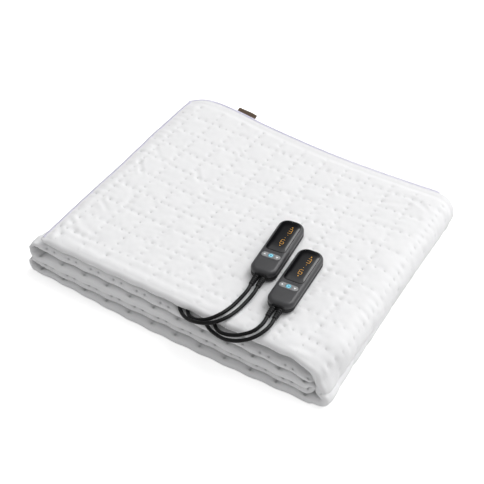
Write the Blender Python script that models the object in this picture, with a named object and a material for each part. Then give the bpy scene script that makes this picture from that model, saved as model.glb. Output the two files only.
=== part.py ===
"""Electric underblanket for two, folded flat, with its two wired handsets.

The quilted cloth is doubled along the front edge and then folded from side to side into five
layers.  Both handsets lie on the top layer.  Their leads run over its front edge into the pocket
under it, where the mains leads are wound into coils beside their plugs.

Units are metres, +Z is up, +X runs along the front edge and +Y towards the back.  The origin is
the centre of the footprint, on the surface that the blanket lies on.
"""
import math

import bmesh
import bpy
import numpy as np
from mathutils import Matrix, Vector

# ---------------------------------------------------------------- driving dimensions
CLEAR = 0.0003              # gap kept between neighbouring pieces

CELL = 0.040                # side of one quilted square
FIRST_COLUMN_X = -0.2012    # quilting line nearest the left edge of the top layer
FIRST_ROW_Y = -0.1685       # quilting line nearest the front
COLUMNS = 11
ROWS = 9
PUFF = 0.0022               # how far a square stands above its sewn lines

NOSE_DEPTH = 0.008          # reach of the rounded front fold of a layer
HEM_BACK = 0.012            # from the back edge to the sewn line of the hem
SEAM_DEPTH = 0.016          # how far the slit between the two plies runs in from the back
LIP_UPPER = 0.0016          # underside of the upper ply at the slit, above the layer's middle
LIP_LOWER = -0.0004         # top of the lower ply at the slit

CROWN = 0.0010              # rise of the top layer over the pocket
HOLLOW = 0.0040             # how far the underside of the top layer gives way over the pocket

# Height of each layer at five places across the blanket: underside and thickness.
LEVEL_X = (-0.24, -0.05, 0.02, 0.12, 0.22)
LEVELS = {
    # layer: (underside at each place), (thickness at each place)
    "bottom": ((0.0, 0.0, 0.0, 0.0, 0.0), (0.0126, 0.0126, 0.0120, 0.0112, 0.0104)),
    "fourth": ((0.0148, 0.0148, 0.0144, 0.0134, 0.0122), (0.0126, 0.0126, 0.0120, 0.0112, 0.0104)),
    "third": ((0.0296, 0.0296, 0.0287, 0.0268, 0.0244), (0.0126, 0.0126, 0.0120, 0.0112, 0.0104)),
    "second": ((0.0444, 0.0444, 0.0427, 0.0402, 0.0366), (0.0126, 0.0126, 0.0101, 0.0099, 0.0102)),
    "top": ((0.0592, 0.0592, 0.0602, 0.0602, 0.0600), (0.0126, 0.0126, 0.0126, 0.0126, 0.0126)),
}

# Plan outline of each layer: its front and back edge at six places across the blanket.
EDGE_X = (-0.24, -0.19, -0.08, 0.04, 0.14, 0.24)
FRONT = {
    "bottom": (-0.2160, -0.2172, -0.2178, -0.2183, -0.2172, -0.2145),
    "fourth": (-0.2085, -0.2100, -0.2108, -0.2104, -0.2112, -0.2100),
    "third": (-0.2130, -0.2140, -0.2146, -0.2138, -0.2146, -0.2130),
    "second": (-0.2060, -0.2068, -0.2074, -0.2080, -0.2094, -0.2088),
    "top": (-0.2030, -0.2050, -0.2048, -0.2060, -0.2082, -0.2086),
}
BACK = {
    "bottom": (0.2110, 0.2105, 0.2090, 0.2065, 0.2050, 0.2030),
    "fourth": (0.2040, 0.2060, 0.2070, 0.2035, 0.1990, 0.1970),
    "third": (0.2090, 0.2080, 0.2055, 0.2025, 0.2005, 0.1995),
    "second": (0.2040, 0.2060, 0.2025, 0.1960, 0.1935, 0.1960),
    "top": (0.2085, 0.2120, 0.1990, 0.1875, 0.1870, 0.1910),
}

# Ends of the straight runs, where the side folds begin.
UPPER_LOOP_X = -0.2320      # left fold between the second and third layers
LOWER_LOOP_X = -0.2370      # left fold between the fourth and bottom layers
INNER_FOLD_X = 0.2165       # right fold between the third and fourth layers
OUTER_FOLD_X = 0.2220       # right fold that wraps from the bottom layer to the top one
SECOND_END_X = 0.2265       # free end of the second layer, inside the outer fold
TOP_END_X = -0.2235         # free edge of the top layer
FOLD_STEPS = 6              # stations round a half-turn
CORNER = 0.007              # how far the plan corners of the folds are drawn in

# Middle line of the outer fold, from the bottom layer up: two bulges with a crease between.
OUTER_FOLD = (
    # x, z
    (0.2360, 0.0066), (0.2436, 0.0126), (0.2452, 0.0205), (0.2418, 0.0290), (0.2368, 0.0362),
    (0.2388, 0.0440), (0.2402, 0.0520), (0.2378, 0.0598), (0.2310, 0.0645),
)

# Handsets: a lower and an upper shell, a raised lens, three keys and two cord boots each.
HANDSET_LENGTH = 0.116
HANDSET_WIDTH = 0.0385
HANDSET_HEIGHT = 0.0172
HANDSET_CORNER = 0.0125
PARTING = 0.0080            # height of the joint between the two shells
LENS_LENGTH = 0.0670
LENS_WIDTH = 0.0300
LENS_CORNER = 0.0075
LENS_Y = 0.0205             # middle of the lens, along the handset
LENS_SEAT = 0.0010          # depth of the lens's seat in the shell
LENS_PROUD = 0.0014
PILL_LENGTH = 0.0280        # the row of keys, across the handset
PILL_WIDTH = 0.0094
PILL_Y = -0.0245
KEY_GAP = 0.00035
POWER_KEY_WIDTH = 0.0086
KEY_PROUD = 0.0006
KEY_TRAVEL = 0.0008
KEY_THICK = 0.0030
BOOT_LENGTH = 0.0190
BOOT_WIDE = 0.0086
BOOT_NARROW = 0.0070
BOOT_RIBS = 5
BOOT_SPREAD = 0.0050        # each boot's distance from the middle line
BOOT_HEIGHT = 0.0070
HANDSETS = (
    # name, x, y, underside, turn about Z in degrees
    ("1", 0.0855, -0.0593, 0.0765, 6.0),
    ("2", 0.1368, -0.0985, 0.0765, 4.5),
)

# Cords.
CORD = 0.0053               # diameter of every lead
COIL_TURNS = 4              # turns side by side in each of a coil's two layers
COIL_PITCH = 0.00535
COIL_INNER = 0.0235         # middle line of the innermost turn
COIL_FACETS = 28
COILS = (
    # name, x, y, underside
    ("1", 0.1250, 0.1000, 0.0520),
    ("2", 0.1250, -0.0650, 0.0520),
)
PLUG_THICK = 0.0120
PLUG_WIDTH = 0.0340
PLUG_BODY = 0.0310
PLUG_RELIEF = 0.0120
PLUG_PIN = 0.0170
PIN_WIDTH = 0.0040
PIN_SPREAD = 0.0095
PLUGS = (
    # name, x and y of the cord end, height of the middle, direction along X
    ("1", 0.1465, 0.0385, 0.0582, -1),
    ("2", 0.1035, -0.0040, 0.0582, 1),
)
# Routes after the straight start at the boot, each point x, y, z.
ROUTES = {
    "mains_lead_1": (
        (0.0882, -0.1655, 0.0797), (0.0860, -0.1815, 0.0783), (0.0820, -0.1970, 0.0780),
        (0.0752, -0.2090, 0.0762), (0.0645, -0.2155, 0.0713), (0.0504, -0.2165, 0.0655),
        (0.0365, -0.2105, 0.0598), (0.0272, -0.1995, 0.0569), (0.0225, -0.1840, 0.0562),
        (0.0230, -0.1600, 0.0560), (0.0275, -0.1250, 0.0558), (0.0340, -0.0850, 0.0556),
        (0.0405, -0.0400, 0.0553), (0.0460, 0.0050, 0.0551), (0.0535, 0.0460, 0.0549),
        (0.0635, 0.0660, 0.0547), (0.0740, 0.0820, 0.0547), (0.0793, 0.0980, 0.0547),
    ),
    "blanket_lead_1": (
        (0.0985, -0.1650, 0.0797), (0.0962, -0.1825, 0.0783), (0.0915, -0.2000, 0.0780),
        (0.0835, -0.2130, 0.0766), (0.0710, -0.2212, 0.0737), (0.0560, -0.2230, 0.0692),
        (0.0405, -0.2195, 0.0632), (0.0268, -0.2120, 0.0586), (0.0152, -0.2015, 0.0568),
        (0.0090, -0.1860, 0.0565), (0.0075, -0.1620, 0.0565), (0.0100, -0.1220, 0.0564),
        (0.0160, -0.0720, 0.0561), (0.0240, -0.0200, 0.0558), (0.0320, 0.0300, 0.0556),
        (0.0385, 0.0800, 0.0554), (0.0430, 0.1250, 0.0553),
    ),
    "mains_lead_2": (
        (0.1450, -0.2045, 0.0803), (0.1375, -0.2165, 0.0780), (0.1275, -0.2232, 0.0743),
        (0.1155, -0.2260, 0.0697), (0.1015, -0.2255, 0.0648), (0.0865, -0.2210, 0.0603),
        (0.0712, -0.2145, 0.0574), (0.0590, -0.2050, 0.0563), (0.0510, -0.1910, 0.0558),
        (0.0480, -0.1720, 0.0556), (0.0505, -0.1490, 0.0555), (0.0570, -0.1230, 0.0553),
        (0.0660, -0.0990, 0.0550), (0.0755, -0.0790, 0.0548), (0.0796, -0.0680, 0.0547),
    ),
    "blanket_lead_2": (
        (0.1350, -0.2035, 0.0800), (0.1265, -0.2130, 0.0772), (0.1145, -0.2180, 0.0722),
        (0.0995, -0.2180, 0.0655), (0.0860, -0.2135, 0.0595), (0.0745, -0.2055, 0.0566),
        (0.0655, -0.1940, 0.0556), (0.0620, -0.1790, 0.0553), (0.0650, -0.1630, 0.0550),
        (0.0760, -0.1510, 0.0548), (0.0960, -0.1440, 0.0542), (0.1250, -0.1420, 0.0535),
        (0.1530, -0.1370, 0.0528), (0.1770, -0.1200, 0.0520), (0.1900, -0.0940, 0.0516),
        (0.1945, -0.0600, 0.0514), (0.1955, -0.0150, 0.0513), (0.1950, 0.0350, 0.0513),
        (0.1930, 0.0800, 0.0514), (0.1900, 0.1150, 0.0515),
    ),
    "plug_tail_1": (
        (0.1696, 0.0920, 0.0600), (0.1688, 0.0800, 0.0598), (0.1685, 0.0690, 0.0594),
        (0.1680, 0.0570, 0.0589), (0.1647, 0.0480, 0.0585), (0.1580, 0.0413, 0.0583),
        (0.1472, 0.0385, 0.0582),
    ),
    "plug_tail_2": (
        (0.0802, -0.0572, 0.0600), (0.0811, -0.0450, 0.0598), (0.0815, -0.0340, 0.0594),
        (0.0822, -0.0215, 0.0589), (0.0860, -0.0122, 0.0585), (0.0925, -0.0065, 0.0583),
        (0.1028, -0.0040, 0.0582),
    ),
}
CORD_POINT_SPACING = 0.0135

# Label sewn into the back seam of the top layer.
LABEL_X = -0.1345
LABEL_LENGTH = 0.0376
LABEL_WIDTH = 0.0125
LABEL_THICK = 0.0008
LABEL_TURN = -8.5           # degrees about Z, along the seam there
LABEL_OUT = 0.0090          # how far it stands out of the seam

# ---------------------------------------------------------------- scene and materials


def clear_scene():
    """Empty the scene of objects."""
    for old in list(bpy.data.objects):
        bpy.data.objects.remove(old, do_unlink=True)


def make_material(name, colour, roughness, metallic=0.0):
    """A Principled material with one colour, roughness and metallic value."""
    material = bpy.data.materials.new(name)
    material.use_nodes = True
    shader = material.node_tree.nodes["Principled BSDF"]
    shader.inputs["Base Color"].default_value = (*colour, 1.0)
    shader.inputs["Roughness"].default_value = roughness
    shader.inputs["Metallic"].default_value = metallic
    return material


def add_object(name, mesh, material, smooth_angle=None):
    """Link a mesh to the scene as a named object."""
    mesh.materials.clear()
    mesh.materials.append(material)
    if smooth_angle is not None:
        mesh.shade_smooth()
        mesh.set_sharp_from_angle(angle=math.radians(smooth_angle))
    made = bpy.data.objects.new(name, mesh)
    bpy.context.scene.collection.objects.link(made)
    return made


def mesh_from_bmesh(name, bm):
    """Turn a closed bmesh into a mesh with its faces outward."""
    bmesh.ops.recalc_face_normals(bm, faces=bm.faces[:])
    mesh = bpy.data.meshes.new(name)
    bm.to_mesh(mesh)
    bm.free()
    return mesh


# ---------------------------------------------------------------- small geometry helpers


def smooth_value(places, values, at):
    """Read a smooth curve through (places, values) at one place, level beyond its ends."""
    places = np.asarray(places, float)
    values = np.asarray(values, float)
    at = float(np.clip(at, places[0], places[-1]))
    slopes = np.gradient(values, places)
    i = int(np.clip(np.searchsorted(places, at) - 1, 0, len(places) - 2))
    span = places[i + 1] - places[i]
    t = (at - places[i]) / span
    return float((2 * t**3 - 3 * t**2 + 1) * values[i] + (t**3 - 2 * t**2 + t) * span * slopes[i]
                 + (-2 * t**3 + 3 * t**2) * values[i + 1] + (t**3 - t**2) * span * slopes[i + 1])


def ease(value, start, end):
    """Rise smoothly from 0 at start to 1 at end."""
    t = min(max((value - start) / (end - start), 0.0), 1.0)
    return t * t * (3.0 - 2.0 * t)


def smooth_route(points, spacing):
    """Points at an even spacing along a smooth curve through hand-placed points."""
    knots = np.array(points, float)
    ends = np.vstack([2 * knots[0] - knots[1], knots, 2 * knots[-1] - knots[-2]])
    dense = []
    for i in range(1, len(ends) - 2):
        before, start, end, after = ends[i - 1:i + 3]
        for t in np.linspace(0.0, 1.0, 24, endpoint=False):
            dense.append(0.5 * (2 * start + (end - before) * t
                                + (2 * before - 5 * start + 4 * end - after) * t**2
                                + (3 * start - before - 3 * end + after) * t**3))
    dense = np.array(dense + [knots[-1]])
    along = np.concatenate([[0.0], np.cumsum(np.linalg.norm(np.diff(dense, axis=0), axis=1))])
    count = max(2, round(along[-1] / spacing) + 1)
    even = np.linspace(0.0, along[-1], count)
    return np.column_stack([np.interp(even, along, dense[:, axis]) for axis in range(3)])


def rounded_outline(length, width, corner, facets):
    """Outline of a round-cornered rectangle, length along Y, as (x, y) points."""
    points = []
    for quarter, (sx, sy) in enumerate(((1, 1), (-1, 1), (-1, -1), (1, -1))):
        cx = sx * (width / 2 - corner)
        cy = sy * (length / 2 - corner)
        for step in range(facets + 1):
            angle = math.radians(90 * quarter + 90 * step / facets)
            points.append((cx + corner * math.cos(angle), cy + corner * math.sin(angle)))
    return points


def loft(rings):
    """Closed solid through rings of equal length, each a list of points, capped at both ends."""
    bm = bmesh.new()
    rows = [[bm.verts.new(point) for point in ring] for ring in rings]
    count = len(rows[0])
    for lower, upper in zip(rows, rows[1:]):
        for i in range(count):
            j = (i + 1) % count
            bm.faces.new((lower[i], lower[j], upper[j], upper[i]))
    bm.faces.new(rows[0][::-1])
    bm.faces.new(rows[-1])
    return bm


# ---------------------------------------------------------------- the blanket


def layer_level(layer, x):
    """Middle height and thickness of a layer at x."""
    undersides, thicknesses = LEVELS[layer]
    thickness = smooth_value(LEVEL_X, thicknesses, x)
    return smooth_value(LEVEL_X, undersides, x) + thickness / 2, thickness


def layer_edges(layer, x):
    """Front and back edge of a layer at x."""
    return smooth_value(EDGE_X, FRONT[layer], x), smooth_value(EDGE_X, BACK[layer], x)


def straight_run(layer, x_from, x_to):
    """Stations of one layer: middle point, thickness, front, back and whether it is the top."""
    lines = [FIRST_COLUMN_X + CELL * i for i in range(COLUMNS)]
    inside = [x for x in lines if min(x_from, x_to) + 0.007 < x < max(x_from, x_to) - 0.007]
    places = [x_from] + sorted(inside, reverse=x_to < x_from) + [x_to]
    rows = []
    for x in places:
        middle, thickness = layer_level(layer, x)
        rows.append([x, middle, thickness, *layer_edges(layer, x), layer == "top"])
    return rows


def half_turn(x, upper, lower, side):
    """Stations round the fold that joins two layers at x; side is -1 left or 1 right."""
    order = (upper, lower)
    tops = [layer_level(layer, x) for layer in order]
    edges = [layer_edges(layer, x) for layer in order]
    centre = (tops[0][0] + tops[1][0]) / 2
    radius = (tops[0][0] - tops[1][0]) / 2
    rows = []
    for step in range(1, FOLD_STEPS):
        share = step / FOLD_STEPS
        angle = math.pi * (0.5 - share)
        bulge = math.cos(angle)
        front = edges[0][0] * (1 - share) + edges[1][0] * share + CORNER * bulge**2
        back = edges[0][1] * (1 - share) + edges[1][1] * share - CORNER * bulge**2
        thickness = tops[0][1] * (1 - share) + tops[1][1] * share
        rows.append([x + side * radius * bulge, centre + radius * math.sin(angle), thickness,
                     front, back, False])
    return rows


def outer_fold():
    """Stations up the outer fold, from the bottom layer to the top one."""
    low = layer_edges("bottom", OUTER_FOLD_X)
    high = layer_edges("top", OUTER_FOLD_X)
    start = layer_level("bottom", OUTER_FOLD_X)[1]
    end = layer_level("top", OUTER_FOLD_X)[1]
    rows = []
    for i, (x, z) in enumerate(OUTER_FOLD):
        share = (i + 1) / (len(OUTER_FOLD) + 1)
        reach = math.sin(math.pi * share)
        rows.append([x, z, start * (1 - share) + end * share,
                     low[0] * (1 - share) + high[0] * share + CORNER * reach,
                     low[1] * (1 - share) + high[1] * share - CORNER * reach, False])
    return rows


def blanket_stations():
    """All stations along the cloth, from its hidden end to the free edge on top."""
    rows = straight_run("second", SECOND_END_X, UPPER_LOOP_X)
    rows += half_turn(UPPER_LOOP_X, "second", "third", -1)
    rows += straight_run("third", UPPER_LOOP_X, INNER_FOLD_X)
    rows += half_turn(INNER_FOLD_X, "third", "fourth", 1)
    rows += straight_run("fourth", INNER_FOLD_X, LOWER_LOOP_X)
    rows += half_turn(LOWER_LOOP_X, "fourth", "bottom", -1)
    rows += straight_run("bottom", LOWER_LOOP_X, OUTER_FOLD_X)
    rows += outer_fold()
    rows += straight_run("top", OUTER_FOLD_X, TOP_END_X)
    for end in (0, -1):
        rows[end][2] *= 0.72
        rows[end][3] += CORNER
        rows[end][4] -= CORNER
    return rows


def pocket_share(x, y):
    """How fully a point of the top layer lies over the pocket, from 0 to 1."""
    across = ease(x, 0.035, 0.062) * (1.0 - ease(x, 0.205, 0.228))
    along = ease(y, -0.165, -0.120) * (1.0 - ease(y, 0.160, 0.188))
    return across * along


def section_ring(front, back, thickness):
    """One cross-section of a layer as (y, height) points, upper face first, front to back."""
    half = thickness / 2
    upper_rows = [front + NOSE_DEPTH]
    upper_rows += [FIRST_ROW_Y + CELL * i for i in range(ROWS)]
    upper_rows.append(back - HEM_BACK)
    lower_rows = list(np.linspace(back - HEM_BACK, front + NOSE_DEPTH, 6))
    ring = [(y, half) for y in upper_rows]
    lip = min(LIP_UPPER, half - 0.002)
    ring += [(back - 0.003, half - 0.0006), (back, lip), (back - SEAM_DEPTH, (lip + LIP_LOWER) / 2),
             (back, LIP_LOWER), (back - 0.003, 0.0006 - half)]
    ring += [(y, -half) for y in lower_rows]
    for degrees in (-50, 0, 50):
        angle = math.radians(degrees)
        ring.append((front + NOSE_DEPTH * (1 - math.cos(angle)), half * math.sin(angle)))
    return ring


def build_blanket(material):
    """The folded cloth: one section of five layers, quilted on its top face."""
    stations = blanket_stations()
    middle = np.array([(row[0], row[1]) for row in stations])
    heading = np.gradient(middle, axis=0)
    heading /= np.linalg.norm(heading, axis=1)[:, None]
    bm = bmesh.new()
    rows = []
    for (x, z, thickness, front, back, on_top), (dx, dz) in zip(stations, heading):
        ring = []
        for y, height in section_ring(front, back, thickness):
            lift = 0.0
            if on_top:
                share = pocket_share(x, y)
                lift = CROWN * share + (HOLLOW * share if height < 0 else 0.0)
            ring.append(bm.verts.new((x + dz * height, y, z - dx * height + lift)))
        rows.append(ring)
    count = len(rows[0])
    puffed = []
    for first, (near, far) in enumerate(zip(rows, rows[1:])):
        for i in range(count):
            j = (i + 1) % count
            face = bm.faces.new((near[i], near[j], far[j], far[i]))
            if stations[first][5] and i < ROWS + 1:
                puffed.append(face)
    bm.faces.new(rows[0][::-1])
    bm.faces.new(rows[-1])
    bmesh.ops.recalc_face_normals(bm, faces=bm.faces[:])
    bmesh.ops.poke(bm, faces=puffed, offset=PUFF)
    return add_object("blanket", mesh_from_bmesh("blanket", bm), material, 40)


def build_label(material):
    """The folded label in the back seam of the top layer."""
    seam = layer_edges("top", LABEL_X)[1]
    middle = layer_level("top", LABEL_X)[0] + (LIP_UPPER + LIP_LOWER) / 2
    inner = LABEL_OUT - LABEL_WIDTH
    half = LABEL_LENGTH / 2
    rings = []
    for y in (inner, 0.0, LABEL_OUT - 0.0015, LABEL_OUT):
        thick = LABEL_THICK * (0.5 if y == LABEL_OUT else 1.0)
        rings.append([(-half, y, -thick / 2), (half, y, -thick / 2),
                      (half, y, thick / 2), (-half, y, thick / 2)])
    label = add_object("label", mesh_from_bmesh("label", loft(rings)), material)
    label.location = (LABEL_X, seam, middle)
    label.rotation_euler = (0.0, 0.0, math.radians(LABEL_TURN))
    return label


# ---------------------------------------------------------------- the handsets


def shell_mesh(name, levels):
    """A shell lofted from the handset's outline; levels are (height, inset) pairs."""
    rings = []
    for height, inset in levels:
        outline = rounded_outline(HANDSET_LENGTH - 2 * inset, HANDSET_WIDTH - 2 * inset,
                                  HANDSET_CORNER - inset, 5)
        rings.append([(x, y, height) for x, y in outline])
    return mesh_from_bmesh(name, loft(rings))


def pill_outline(x_from, x_to, half, facets):
    """Outline of a stretch of the pill that holds the keys; its outer ends are round."""
    reach = PILL_LENGTH / 2
    points = []
    if x_to >= reach - 1e-6:
        for step in range(facets + 1):
            angle = math.radians(-90 + 180 * step / facets)
            points.append((x_to - half + half * math.cos(angle), half * math.sin(angle)))
    else:
        points += [(x_to, -half), (x_to, half)]
    if x_from <= -reach + 1e-6:
        for step in range(facets + 1):
            angle = math.radians(90 + 180 * step / facets)
            points.append((x_from + half + half * math.cos(angle), half * math.sin(angle)))
    else:
        points += [(x_from, half), (x_from, -half)]
    return points


def cut(target, rings):
    """Cut a lofted pocket out of an object and keep the result as its mesh."""
    cutter = bpy.data.objects.new("pocket", mesh_from_bmesh("pocket", loft(rings)))
    bpy.context.scene.collection.objects.link(cutter)
    step = target.modifiers.new("pocket", "BOOLEAN")
    step.operation = "DIFFERENCE"
    step.solver = "EXACT"
    step.object = cutter
    evaluated = target.evaluated_get(bpy.context.evaluated_depsgraph_get())
    result = bpy.data.meshes.new_from_object(evaluated)
    target.modifiers.clear()
    target.data = result
    bpy.data.objects.remove(cutter, do_unlink=True)


def build_upper_shell(name, material):
    """The upper shell, with the seats of the lens and the keys cut into it."""
    top = HANDSET_HEIGHT
    shell = add_object(name, shell_mesh(name, (
        (PARTING + CLEAR, 0.0003), (PARTING + 0.0012, 0.0), (top - 0.0050, 0.0001),
        (top - 0.0022, 0.0006), (top - 0.0007, 0.0016), (top, 0.0032))), material)
    seat = rounded_outline(LENS_LENGTH + 2 * CLEAR, LENS_WIDTH + 2 * CLEAR, LENS_CORNER + CLEAR, 4)
    cut(shell, [[(x, y + LENS_Y, z) for x, y in seat] for z in (top - LENS_SEAT, top + 0.01)])
    well = pill_outline(-PILL_LENGTH / 2 - KEY_GAP, PILL_LENGTH / 2 + KEY_GAP,
                        PILL_WIDTH / 2 + KEY_GAP, 8)
    floor = top + KEY_PROUD - KEY_THICK - KEY_TRAVEL - CLEAR
    cut(shell, [[(x, y + PILL_Y, z) for x, y in well] for z in (floor, top + 0.01)])
    return shell


def key_mesh(name, x_from, x_to):
    """One key: a stretch of the pill with a soft upper edge."""
    top = HANDSET_HEIGHT + KEY_PROUD
    half = PILL_WIDTH / 2
    rings = []
    for z, inset in ((top - KEY_THICK, 0.0), (top - 0.0006, 0.0), (top, 0.0006)):
        shrink = (half - inset) / half
        middle = (x_from + x_to) / 2
        rings.append([(middle + (x - middle) * (1 - 2 * inset / (x_to - x_from)),
                       PILL_Y + y * shrink, z)
                      for x, y in pill_outline(x_from, x_to, half, 8)])
    return mesh_from_bmesh(name, loft(rings))


def boot_mesh(name):
    """A ribbed cord boot that tapers away from the handset, along -Y."""
    rings = []
    steps = 2 * BOOT_RIBS + 1
    for step in range(steps + 1):
        share = step / steps
        width = BOOT_WIDE * (1 - share) + BOOT_NARROW * share
        if step % 2 == 1 and 0 < step < steps:
            width *= 0.80
        half = width / 2
        bevel = half * 0.45
        corners = ((half, half - bevel), (half - bevel, half), (bevel - half, half),
                   (-half, half - bevel), (-half, bevel - half), (bevel - half, -half),
                   (half - bevel, -half), (half, bevel - half))
        for part in ((0.0, 0.55) if step < steps else (0.0,)):
            y = -(share + part / steps) * BOOT_LENGTH
            rings.append([(x, y, z) for x, z in corners])
    return mesh_from_bmesh(name, loft(rings))


def build_handset(number, place, materials):
    """One handset: its pieces share a carrier empty that holds their place."""
    x, y, underside, turn = place
    carrier = bpy.data.objects.new("handset_" + number, None)
    bpy.context.scene.collection.objects.link(carrier)
    carrier.location = (x, y, underside)
    carrier.rotation_euler = (0.0, 0.0, math.radians(turn))
    bpy.context.view_layer.update()

    lower_name = "lower_shell_" + number
    lower = add_object(lower_name, shell_mesh(lower_name, (
        (0.0, 0.0034), (0.0012, 0.0014), (0.0034, 0.0004), (PARTING, 0.0))), materials["black"])
    upper = build_upper_shell("upper_shell_" + number, materials["shell"])

    lens_name = "lens_" + number
    rings = []
    top = HANDSET_HEIGHT
    for z, inset in ((top - LENS_SEAT + CLEAR, 0.0), (top + LENS_PROUD - 0.0009, 0.0),
                     (top + LENS_PROUD, 0.0009)):
        outline = rounded_outline(LENS_LENGTH - 2 * inset, LENS_WIDTH - 2 * inset,
                                  LENS_CORNER - inset, 4)
        rings.append([(px, py + LENS_Y, z) for px, py in outline])
    lens = add_object(lens_name, mesh_from_bmesh(lens_name, loft(rings)), materials["lens"])

    reach = PILL_LENGTH / 2
    inner = POWER_KEY_WIDTH / 2
    pieces = [lower, upper, lens]
    for side, x_from, x_to in (("left", -reach, -inner - KEY_GAP), ("power", -inner, inner),
                               ("right", inner + KEY_GAP, reach)):
        key_name = "key_" + side + "_" + number
        pieces.append(add_object(key_name, key_mesh(key_name, x_from, x_to), materials["key"]))
    for side, sign in (("left", -1), ("right", 1)):
        boot_name = "boot_" + side + "_" + number
        boot = add_object(boot_name, boot_mesh(boot_name), materials["black"])
        boot.location = (sign * BOOT_SPREAD, -HANDSET_LENGTH / 2 - CLEAR, BOOT_HEIGHT)
        pieces.append(boot)
    for piece in pieces:
        piece.parent = carrier
    return carrier


# ---------------------------------------------------------------- the leads


def build_tube(name, points, material):
    """A plain tube along a lead's route."""
    curve = bpy.data.curves.new(name, "CURVE")
    curve.dimensions = "3D"
    curve.bevel_depth = CORD / 2
    curve.bevel_resolution = 2
    curve.use_fill_caps = True
    spline = curve.splines.new("POLY")
    spline.points.add(len(points) - 1)
    for point, place in zip(spline.points, points):
        point.co = (*place, 1.0)
    curve.materials.append(material)
    made = bpy.data.objects.new(name, curve)
    bpy.context.scene.collection.objects.link(made)
    return made


def boot_exit(number, side):
    """Two points that carry a lead straight out of its boot."""
    place = next(row for row in HANDSETS if row[0] == number)
    turn = Matrix.Rotation(math.radians(place[4]), 4, "Z")
    origin = Vector(place[1:4])
    start = -HANDSET_LENGTH / 2 - 2 * CLEAR - BOOT_LENGTH * (1 + 0.55 / (2 * BOOT_RIBS + 1))
    points = []
    for run in (0.0, 0.012):
        local = Vector((side * BOOT_SPREAD, start - run, BOOT_HEIGHT - 0.10 * run))
        points.append(tuple(origin + turn @ local))
    return points


def coil_mesh(name):
    """The outer shape of a coil: a flat ring of square section with eased edges."""
    inner = COIL_INNER - CORD / 2
    outer = COIL_INNER + (COIL_TURNS - 1) * COIL_PITCH + CORD / 2
    height = 2 * CORD
    soft = CORD * 0.35
    profile = ((inner + soft, 0.0), (outer - soft, 0.0), (outer, soft), (outer, height - soft),
               (outer - soft, height), (inner + soft, height), (inner, height - soft),
               (inner, soft))
    bm = bmesh.new()
    rows = []
    for step in range(COIL_FACETS):
        angle = 2 * math.pi * step / COIL_FACETS
        rows.append([bm.verts.new((r * math.cos(angle), r * math.sin(angle), z))
                     for r, z in profile])
    for near, far in zip(rows, rows[1:] + rows[:1]):
        for i in range(len(profile)):
            j = (i + 1) % len(profile)
            bm.faces.new((near[i], near[j], far[j], far[i]))
    return mesh_from_bmesh(name, bm)


def build_plug(name, x, y, z, direction, material):
    """A flat two-pin plug lying on its side, cord end at (x, y, z)."""
    # Distance from the cord end, half width and half thickness of each ring.
    sections = ((CLEAR, 0.0040, 0.0036), (PLUG_RELIEF, 0.0055, 0.0045),
                (PLUG_RELIEF + 0.004, 0.0130, 0.0056), (PLUG_RELIEF + 0.012, PLUG_WIDTH / 2, 0.0060),
                (PLUG_RELIEF + PLUG_BODY - 0.004, PLUG_WIDTH / 2, PLUG_THICK / 2),
                (PLUG_RELIEF + PLUG_BODY, PLUG_WIDTH / 2 - 0.002, PLUG_THICK / 2 - 0.0012))
    rings = []
    for run, wide, thick in sections:
        bevel = thick * 0.5
        rings.append([(direction * run, py, pz) for py, pz in (
            (wide, thick - bevel), (wide - bevel, thick), (bevel - wide, thick),
            (-wide, thick - bevel), (-wide, bevel - thick), (bevel - wide, -thick),
            (wide - bevel, -thick), (wide, bevel - thick))])
    body = loft(rings)
    mesh = mesh_from_bmesh(name, body)
    plug = add_object(name, mesh, material)
    bm = bmesh.new()
    front = direction * (PLUG_RELIEF + PLUG_BODY)
    for side in (-1, 1):
        pin = bmesh.ops.create_cone(bm, cap_ends=True, segments=8, radius1=PIN_WIDTH / 2,
                                    radius2=PIN_WIDTH / 2, depth=PLUG_PIN + 0.004)
        turn = Matrix.Rotation(math.radians(90), 4, "Y")
        move = Matrix.Translation((front + direction * (PLUG_PIN - 0.004) / 2, side * PIN_SPREAD, 0))
        bmesh.ops.transform(bm, matrix=move @ turn, verts=pin["verts"])
    pins = bpy.data.objects.new("pins", mesh_from_bmesh("pins", bm))
    bpy.context.scene.collection.objects.link(pins)
    join = plug.modifiers.new("pins", "BOOLEAN")
    join.operation = "UNION"
    join.solver = "EXACT"
    join.object = pins
    evaluated = plug.evaluated_get(bpy.context.evaluated_depsgraph_get())
    result = bpy.data.meshes.new_from_object(evaluated)
    plug.modifiers.clear()
    plug.data = result
    bpy.data.objects.remove(pins, do_unlink=True)
    plug.location = (x, y, z)
    return plug


def build_leads(materials):
    """The four leads, the two coils and the two plugs."""
    starts = {
        "mains_lead_1": boot_exit("1", -1), "blanket_lead_1": boot_exit("1", 1),
        "mains_lead_2": boot_exit("2", 1), "blanket_lead_2": boot_exit("2", -1),
    }
    for name, route in ROUTES.items():
        points = smooth_route(starts.get(name, []) + list(route), CORD_POINT_SPACING)
        build_tube(name, points, materials["cord"])
    for number, x, y, underside in COILS:
        coil = add_object("coil_" + number, coil_mesh("coil_" + number), materials["cord"], 40)
        coil.location = (x, y, underside)
    for number, x, y, z, direction in PLUGS:
        build_plug("plug_" + number, x, y, z, direction, materials["black"])


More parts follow.
